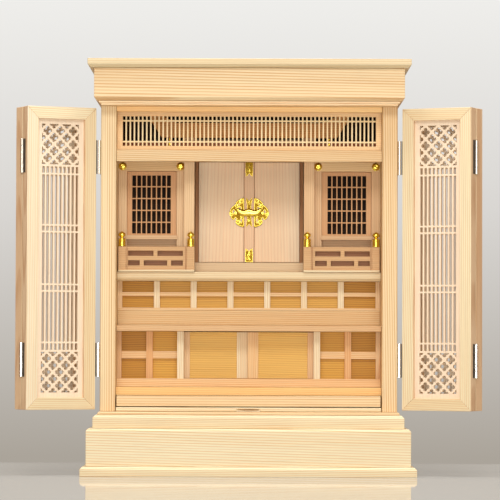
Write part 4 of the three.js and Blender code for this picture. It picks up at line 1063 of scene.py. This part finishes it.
# Turned brass: finials on the railing posts and bosses on the bay beams
FINIAL_RADIUS = 5.6
BOSS_RADIUS = 6.1
FINIAL_PROFILE = (
    (0, 0), (0.97, 0), (1, 0.02), (1, 0.1), (0.97, 0.115), (0.88, 0.12), (0.88, 0.14),
    (0.97, 0.145), (0.97, 0.3), (0.9, 0.31), (0.9, 0.33), (0.96, 0.34), (0.96, 0.46), (0.9, 0.5),
    (0.6, 0.53), (0.42, 0.55), (0.4, 0.58), (0.52, 0.61), (0.84, 0.66), (0.98, 0.72),
    (0.98, 0.77), (0.86, 0.84), (0.58, 0.9), (0.28, 0.94), (0.12, 0.975), (0, 1),
)
BOSS_PROFILE = (
    (0, 0), (1, 0), (1, 0.2), (0.93, 0.34), (0.8, 0.34), (0.76, 0.42), (0.7, 0.66), (0.55, 0.84),
    (0.3, 0.95), (0.26, 0.9), (0.2, 0.96), (0, 1),
)


def turned_piece(name, node, profile, size, origin, axis):
    """A turned piece in place of a CAD node. Its profile is in shares of its radius and height."""
    bm = bmesh.new()
    lathe_into(bm, [(r * size[0], h * size[1]) for r, h in profile], 32, origin, axis)
    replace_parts(solid(name, bm, [BRASS], angle=50), node)


def make_turned_brass():
    for word, _ in SIDES:
        for place in ("wall", "end"):
            node = f"finial_{place}_{word}"
            foot, head = low(node), high(node)
            size = (FINIAL_RADIUS, head.z - foot.z + 1)
            origin = ((foot.x + head.x) / 2, (foot.y + head.y) / 2, foot.z)
            turned_piece(f"giboshi_{place}_{word}", node, FINIAL_PROFILE, size, origin, "Z")
        for place in ("inner", "outer"):
            node = f"boss_{place}_{word}"
            foot, head = low(node), high(node)
            size = (BOSS_RADIUS, head.y - foot.y)
            origin = ((foot.x + head.x) / 2, head.y, (foot.z + head.z) / 2)
            turned_piece(f"round_boss_{place}_{word}", node, BOSS_PROFILE, size, origin, "Y")


make_turned_brass()


# Chased brass on the shrine doors, drawn as outlines and scrolls of (x, z) points
WIRE_SIDES = 6


def rounded(points, steps=4, closed=True):
    """A smooth line through the same points."""
    count = len(points)
    line = []
    for i in range(count if closed else count - 1):
        picks = [(i + k) % count if closed else min(max(i + k, 0), count - 1) for k in (-1, 0, 1, 2)]
        before, here, there, after = (Vector(points[k]) for k in picks)
        bend = 2 * before - 5 * here + 4 * there - after
        twist = 3 * (here - there) + after - before
        for step in range(steps):
            t = step / steps
            line.append(tuple(here + 0.5 * t * (there - before + t * (bend + t * twist))))
    if not closed:
        line.append(tuple(points[-1]))
    return line


def scroll(cx, cz, radius, start, turns, count=18):
    """A spiral that winds inward from radius, with its angles in degrees."""
    points = []
    for i in range(count + 1):
        t = i / count
        a = math.radians(start + 360 * turns * t)
        r = radius * (1 - 0.78 * t)
        points.append((cx + r * math.cos(a), cz + r * math.sin(a)))
    return points


def wire_into(bm, path, radius, y, closed=False, taper=False):
    """Adds a round wire along (x, z) points, its axis at y."""
    count = len(path)
    rings = []
    for i, (x, z) in enumerate(path):
        before = Vector(path[i - 1] if closed or i > 0 else path[0])
        after = Vector(path[(i + 1) % count] if closed or i < count - 1 else path[-1])
        along = (after - before).normalized()
        r = radius * (1 - 0.65 * i / (count - 1)) if taper else radius
        ring = []
        for k in range(WIRE_SIDES):
            a = 2 * math.pi * k / WIRE_SIDES
            across = r * math.cos(a)
            place = Vector((x - along.y * across, y - r * math.sin(a), z + along.x * across))
            ring.append(bm.verts.new(place * MM))
        rings.append(ring)
    if closed:
        rings.append(rings[0])
    else:
        bm.faces.new(rings[0])
        bm.faces.new(rings[-1][::-1])
    join_rings(bm, rings)


def dome_into(bm, x, z, radius, y):
    """Adds a rivet head whose foot lies at y."""
    profile = [(0, -0.1), (radius, -0.1), (radius, 0.1), (radius * 0.8, radius * 0.45)]
    lathe_into(bm, [*profile, (0, radius * 0.7)], 12, (x, y, z), "Y")


def chased_plate(name, body, outline, holes, wires, rivets, node):
    """A brass plate with a raised rim, relief wires and rivets on its front."""
    y0, y1 = low(node).y, high(node).y
    mesh = plate_mesh(name, [outline, *holes], y0, y1, 0.2)
    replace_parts(to_object(name, mesh, [BRASS_CHASED], body), node)
    bm = bmesh.new()
    for path, radius, closed, taper in wires:
        wire_into(bm, path, radius, y0, closed, taper)
    for x, z, radius in rivets:
        dome_into(bm, x, z, radius, y0)
    solid(name + "_relief", bm, [BRASS], body, 60)


PLATE_HALF = (
    (0, 0.5), (0.1, 0.5), (0.3, 0.455), (0.5, 0.38), (0.62, 0.27), (0.8, 0.2), (0.95, 0.09),
    (1, -0.02), (0.93, -0.12), (0.86, -0.2), (0.72, -0.25), (0.6, -0.17), (0.5, -0.22),
    (0.56, -0.33), (0.5, -0.41), (0.34, -0.46), (0.14, -0.5), (0, -0.5),
)
PLATE_HOLES = (
    ((0.42, 0.27), (0.36, 0.33), (0.26, 0.3), (0.32, 0.25)),
    ((0.42, 0.13), (0.28, 0.21), (0.18, 0.17), (0.24, 0.1)),
    ((0.82, 0.03), (0.7, 0.11), (0.6, 0.02), (0.72, -0.06)),
    ((0.28, -0.26), (0.2, -0.17), (0.12, -0.27), (0.2, -0.38)),
)
PLATE_SCROLLS = (
    (0.5, 0.24, 0.14, 200, 1.3),
    (0.16, 0.38, 0.16, 90, -1.2),
    (0.84, -0.06, 0.13, 60, -1.3),
    (0.42, -0.33, 0.15, 30, 1.3),
    (0.16, -0.1, 0.12, 250, 1.2),
    (0.62, -0.02, 0.1, 120, 1.1),
)
PLATE_RIVETS = ((0.06, 0.45), (0.9, 0.02), (0.06, -0.45), (0.46, -0.2))
PLATE_HEIGHT = 45
RIM_INSET = 0.93
LOCK_MIDDLE = (low("shrine_door_left").z + high("shrine_door_left").z) / 2 - 0.5
BATTEN_FORK = ((1, 6), (0.86, 4), (1, 0), (0.5, 2), (0, 5.4))


def make_lock_plates():
    for word, side in SIDES:
        node = f"lock_plate_{word}"
        near, far = sorted((abs(low(node).x), abs(high(node).x)))
        reach = far - near

        def place(point):
            return (side * (near + point[0] * reach), LOCK_MIDDLE + point[1] * PLATE_HEIGHT)

        edge = rounded([place(p) for p in PLATE_HALF], closed=False)
        heart = Vector(place((0.42, 0)))
        rim = [tuple(heart + (Vector(p) - heart) * RIM_INSET) for p in edge]
        holes = [rounded([place(p) for p in hole], 3) for hole in PLATE_HOLES]
        wires = [(rim, 0.5, True, False)]
        for x, z, radius, start, turns in PLATE_SCROLLS:
            begin = start if side > 0 else 180 - start
            path = scroll(*place((x, z)), radius * reach, begin, side * turns)
            wires.append((path, 0.95, False, True))
        wires += [(hole, 0.45, True, False) for hole in holes]
        rivets = [(*place(p), 0.9) for p in PLATE_RIVETS]
        chased_plate(f"cloud_plate_{word}", f"shrine_door_{word}", edge, holes, wires, rivets, node)


def make_batten_plates():
    """Plates with a straight end on the batten's end, and a forked one towards its middle."""
    for node, tip in (("batten_plate_top", -1), ("batten_plate_foot", 1)):
        foot, head = low(node), high(node)
        straight, forked = (head.z, foot.z) if tip < 0 else (foot.z, head.z)
        half = head.x
        right = [(half, straight)] + [(x * half, forked - tip * rise) for x, rise in BATTEN_FORK]
        outline = right + [(-x, z) for x, z in right[-2::-1]]
        middle = (straight + forked) / 2 - tip * 2
        wires = [(outline, 0.4, True, False)]
        for turn, rise in ((1, 4), (-1, -2.5)):
            large = scroll(turn * 1.3, middle + rise, 2.7, 90 * turn, 1.4 * turn)
            small = scroll(-turn * 1.5, middle + rise - 2, 1.8, -90 * turn, 1.2)
            wires += [(large, 0.5, False, True), (small, 0.4, False, True)]
        rivets = [(0, straight + tip * 2.2, 0.9), (0, forked - tip * 8.2, 0.8)]
        name = node.replace("batten_plate", "forked_plate")
        chased_plate(name, "shrine_door_right", outline, [], wires, rivets, node)


BOAT_STATIONS = 24
BOAT_SIDES = 14
BOAT_KEEL = 7.6
BOAT_DECK = 5.2
STEM_THICKNESS = 1.2
STEM_FORK = ((0, 5.4), (4.5, 0), (3.9, 6), (2.7, 10.8))
LOCK_KNOB = ((0, -1.2), (1.5, -0.9), (1.7, 0), (1.2, 1.1), (0, 1.5))
KEYHOLES = ((0, 0.4, 1.1), (0, 3.2, 0.55), (-4.2, 1.2, 0.5), (4.2, 1.2, 0.5), (0, -3.2, 0.6))


def boat_rings(bm, half, rise, front, depth):
    """Cross-sections of the boat-shaped lock, from one end to the other."""
    rings = []
    for i in range(BOAT_STATIONS + 1):
        t = -1 + 2 * i / BOAT_STATIONS
        keel = rise - BOAT_KEEL * math.sqrt(max(0, 1 - abs(t) ** 2.2)) + 4.6 * abs(t) ** 4
        sag = 2.6 * math.sin(math.pi * min(1, abs(t) * 1.15)) ** 2
        deck = rise + BOAT_DECK - sag + 1.6 * abs(t) ** 6
        keel = min(keel, deck - 0.9)
        bulge = depth * max(0.12, math.sqrt(max(0, 1 - t * t)))
        ring = []
        for k in range(BOAT_SIDES + 1):
            a = math.pi * k / BOAT_SIDES
            z = (keel + deck) / 2 - (deck - keel) / 2 * math.cos(a)
            y = front + 0.2 - bulge * math.sin(a) ** 0.7
            ring.append(bm.verts.new(Vector((t * half, y, z)) * MM))
        rings.append(ring)
    return rings


def make_lock():
    """The boat-shaped lock on its forked stem plate."""
    foot, head = low("lock"), high("lock")
    half = head.x
    rise = LOCK_MIDDLE + 1.2
    front = head.y - STEM_THICKNESS
    depth = front - foot.y
    door = "shrine_door_right"
    bm = bmesh.new()
    rings = boat_rings(bm, half, rise, front, depth)
    join_rings(bm, rings)
    bm.faces.new(rings[0])
    bm.faces.new(rings[-1][::-1])
    for end in (-1, 1):
        lathe_into(bm, LOCK_KNOB, 14, (end * (half - 1.7), front - 1, rise + BOAT_DECK))
    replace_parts(solid("boat_lock", bm, [BRASS], door, 60), "lock")
    right = [(x, foot.z + up) for x, up in STEM_FORK]
    right += [(x, head.z - up) for x, up in STEM_FORK[::-1]]
    outline = right + [(-x, z) for x, z in right[-2:0:-1]]
    mesh = plate_mesh("lock_stem", [outline], front, head.y, 0.2)
    to_object("lock_stem", mesh, [BRASS_CHASED], door)
    bm = bmesh.new()
    wire_into(bm, outline, 0.35, front, True)
    for sign in (-1, 1):
        curl = scroll(0.7 * sign, rise + sign * 14, 2, 90, sign * 1.4)
        wire_into(bm, curl, 0.45, front, taper=True)
        dome_into(bm, 0, rise + sign * 10.6, 0.8, front)
        dome_into(bm, sign * 11, rise + 0.6, 0.8, front - depth * 0.86)
    solid("lock_relief", bm, [BRASS], door, 60)
    bm = bmesh.new()
    # Dark discs on the lock's front: painted shade for the depth of the keyholes.
    for x, z, r in KEYHOLES:
        profile = [(0, -0.3), (r, -0.3), (r, 0.12), (0, 0.12)]
        lathe_into(bm, profile, 14, (x, front - depth, rise + z), "Y")
    solid("keyholes", bm, [KEYHOLE], door)


make_lock_plates()
make_batten_plates()
make_lock()


# Small bell-shaped brass knobs on the ceiling rail, behind the transom
KNOB_OFFSET = 121.1
KNOB_FOOT = 497.6
KNOB_DEPTH = 52.2
KNOB_PROFILE = (
    (0, 0.6), (3.4, 0), (3.9, 1.2), (3.6, 3.4), (2.5, 6), (1.5, 7.4), (2.2, 8.8), (1.9, 10.6),
    (0.9, 12), (0, 12.6),
)


def make_pendants():
    bm = bmesh.new()
    for side in (-1, 1):
        lathe_into(bm, KNOB_PROFILE, 20, (side * KNOB_OFFSET, FRONT + KNOB_DEPTH, KNOB_FOOT))
    solid("pendants", bm, [BRASS], angle=50)


make_pendants()


# Camera, table and light
FOCAL_PIXELS = 2900
FRAME_PIXELS = 500
SENSOR = 36.0
CAMERA_DISTANCE = 4350
CAMERA_HEIGHT = 202.8
HORIZON_PIXEL = 340
VANISHING_PIXEL = 249
CAMERA_ROLL = 0.00335
TABLE_REACH = 2.6
TABLE_FRONT = -2.2
TABLE_BACK = 0.28


def make_camera():
    data = bpy.data.cameras.new("camera")
    data.sensor_width = SENSOR
    data.lens = FOCAL_PIXELS / FRAME_PIXELS * SENSOR
    data.clip_start = 0.1
    data.clip_end = 60
    camera = bpy.data.objects.new("camera", data)
    bpy.context.scene.collection.objects.link(camera)
    camera.location = (0, (FRONT - CAMERA_DISTANCE) * MM, CAMERA_HEIGHT * MM)
    rise = math.atan((HORIZON_PIXEL - FRAME_PIXELS / 2) / FOCAL_PIXELS)
    turn = math.atan((FRAME_PIXELS / 2 - VANISHING_PIXEL) / FOCAL_PIXELS)
    aim = Euler((math.pi / 2 + rise, 0, -turn)).to_matrix() @ Matrix.Rotation(CAMERA_ROLL, 3, "Z")
    camera.rotation_euler = aim.to_euler()
    bpy.context.scene.camera = camera


def area_light(name, place, target, size, power):
    data = bpy.data.lights.new(name, "AREA")
    data.shape = "RECTANGLE"
    data.size, data.size_y = size
    data.energy = power
    lamp = bpy.data.objects.new(name, data)
    bpy.context.scene.collection.objects.link(lamp)
    lamp.location = place
    lamp.rotation_euler = (Vector(target) - Vector(place)).to_track_quat("-Z", "Y").to_euler()


def make_table():
    """The pale glossy table, which mirrors the foot of the cabinet."""
    material, tree, shader, position = new_material("table_surface")
    cloud = stretched_noise(tree, position, (3, 3, 3))
    colour = mixed(tree, cloud, srgb(182, 181, 175), srgb(174, 173, 166))
    surface(tree, shader, colour, spread(tree, cloud, 0.03, 0.05))
    bumped(tree, shader, stretched_noise(tree, position, (1.5, 5, 1), 1.0), 0.5, 0.3)
    milky = add(tree, "ShaderNodeBsdfDiffuse", {"Color": srgb(186, 185, 181)})
    blend = add(tree, "ShaderNodeMixShader", {0: 0.2, 1: shader.outputs[0], 2: milky.outputs[0]})
    tree.links.new(blend.outputs[0], tree.nodes["Material Output"].inputs["Surface"])
    mesh = bpy.data.meshes.new("table")
    x, front, back = TABLE_REACH, TABLE_FRONT, TABLE_BACK
    corners = [(-x, front, 0), (x, front, 0), (x, back, 0), (-x, back, 0)]
    mesh.from_pydata(corners, [], [(0, 1, 2, 3)])
    mesh.materials.append(material)
    table = bpy.data.objects.new("table", mesh)
    bpy.context.scene.collection.objects.link(table)


def make_world():
    """A pale backdrop that darkens towards the table, and a warm room that the brass mirrors."""
    world = bpy.data.worlds.new("studio")
    bpy.context.scene.world = world
    world.use_nodes = True
    tree = world.node_tree
    tree.nodes.clear()
    direction = add(tree, "ShaderNodeTexCoord").outputs["Generated"]
    parts = add(tree, "ShaderNodeSeparateXYZ", {0: direction})
    behind, height = parts.outputs["Y"], parts.outputs["Z"]
    low_sky, middle_sky, high_sky = srgb(171, 164, 154), srgb(217, 214, 210), srgb(239, 238, 235)
    rise = spread(tree, height, 0, 1, -0.04, 0.117)
    backdrop = ramped(tree, rise, (0, low_sky), (0.54, middle_sky), (1, high_sky)).outputs[0]
    floor, level, ceiling = srgb(110, 88, 66), srgb(156, 118, 88), srgb(210, 184, 152)
    rise = spread(tree, height, 0, 1, -1, 1)
    room = ramped(tree, rise, (0, floor), (0.5, level), (1, ceiling)).outputs[0]
    rise = spread(tree, height, 0, 1, 0.02, 0.5)
    wall = ramped(tree, rise, (0, srgb(178, 175, 169)), (1, srgb(236, 234, 230))).outputs[0]
    sides = mixed(tree, spread(tree, behind, 0, 1, 0.45, 0.85), room, wall)
    around = mixed(tree, spread(tree, behind, 1, 0, -0.96, -0.7), sides, srgb(226, 218, 204))
    path = add(tree, "ShaderNodeLightPath").outputs
    brighter = spread(tree, behind, 2.0, 0, -0.98, -0.8)
    mirrored = number(tree, "MULTIPLY", brighter, path["Is Glossy Ray"])
    strength = number(tree, "ADD", mirrored, 1.0)
    seen = add(tree, "ShaderNodeBackground", {"Color": backdrop, "Strength": 1.0}).outputs[0]
    lit = add(tree, "ShaderNodeBackground", {"Color": around, "Strength": strength}).outputs[0]
    choice = add(tree, "ShaderNodeMixShader", {0: path["Is Camera Ray"], 1: lit, 2: seen})
    add(tree, "ShaderNodeOutputWorld", {"Surface": choice.outputs[0]})


def make_light():
    """Soft studio light from above the camera, from low in front and from overhead, in metres."""
    area_light("key", (0, -2.5, 2.0), (0, 0, 0.32), (1.2, 0.8), 28)
    area_light("low_fill", (0, -3.3, 0.12), (0, 0, 0.35), (2.2, 0.4), 25)
    area_light("above", (0, -0.4, 2.2), (0, 0, 0.2), (1.6, 0.8), 40)
    view = bpy.context.scene.view_settings
    view.view_transform = "Standard"
    view.look = "None"


make_camera()
make_table()
make_world()
make_light()
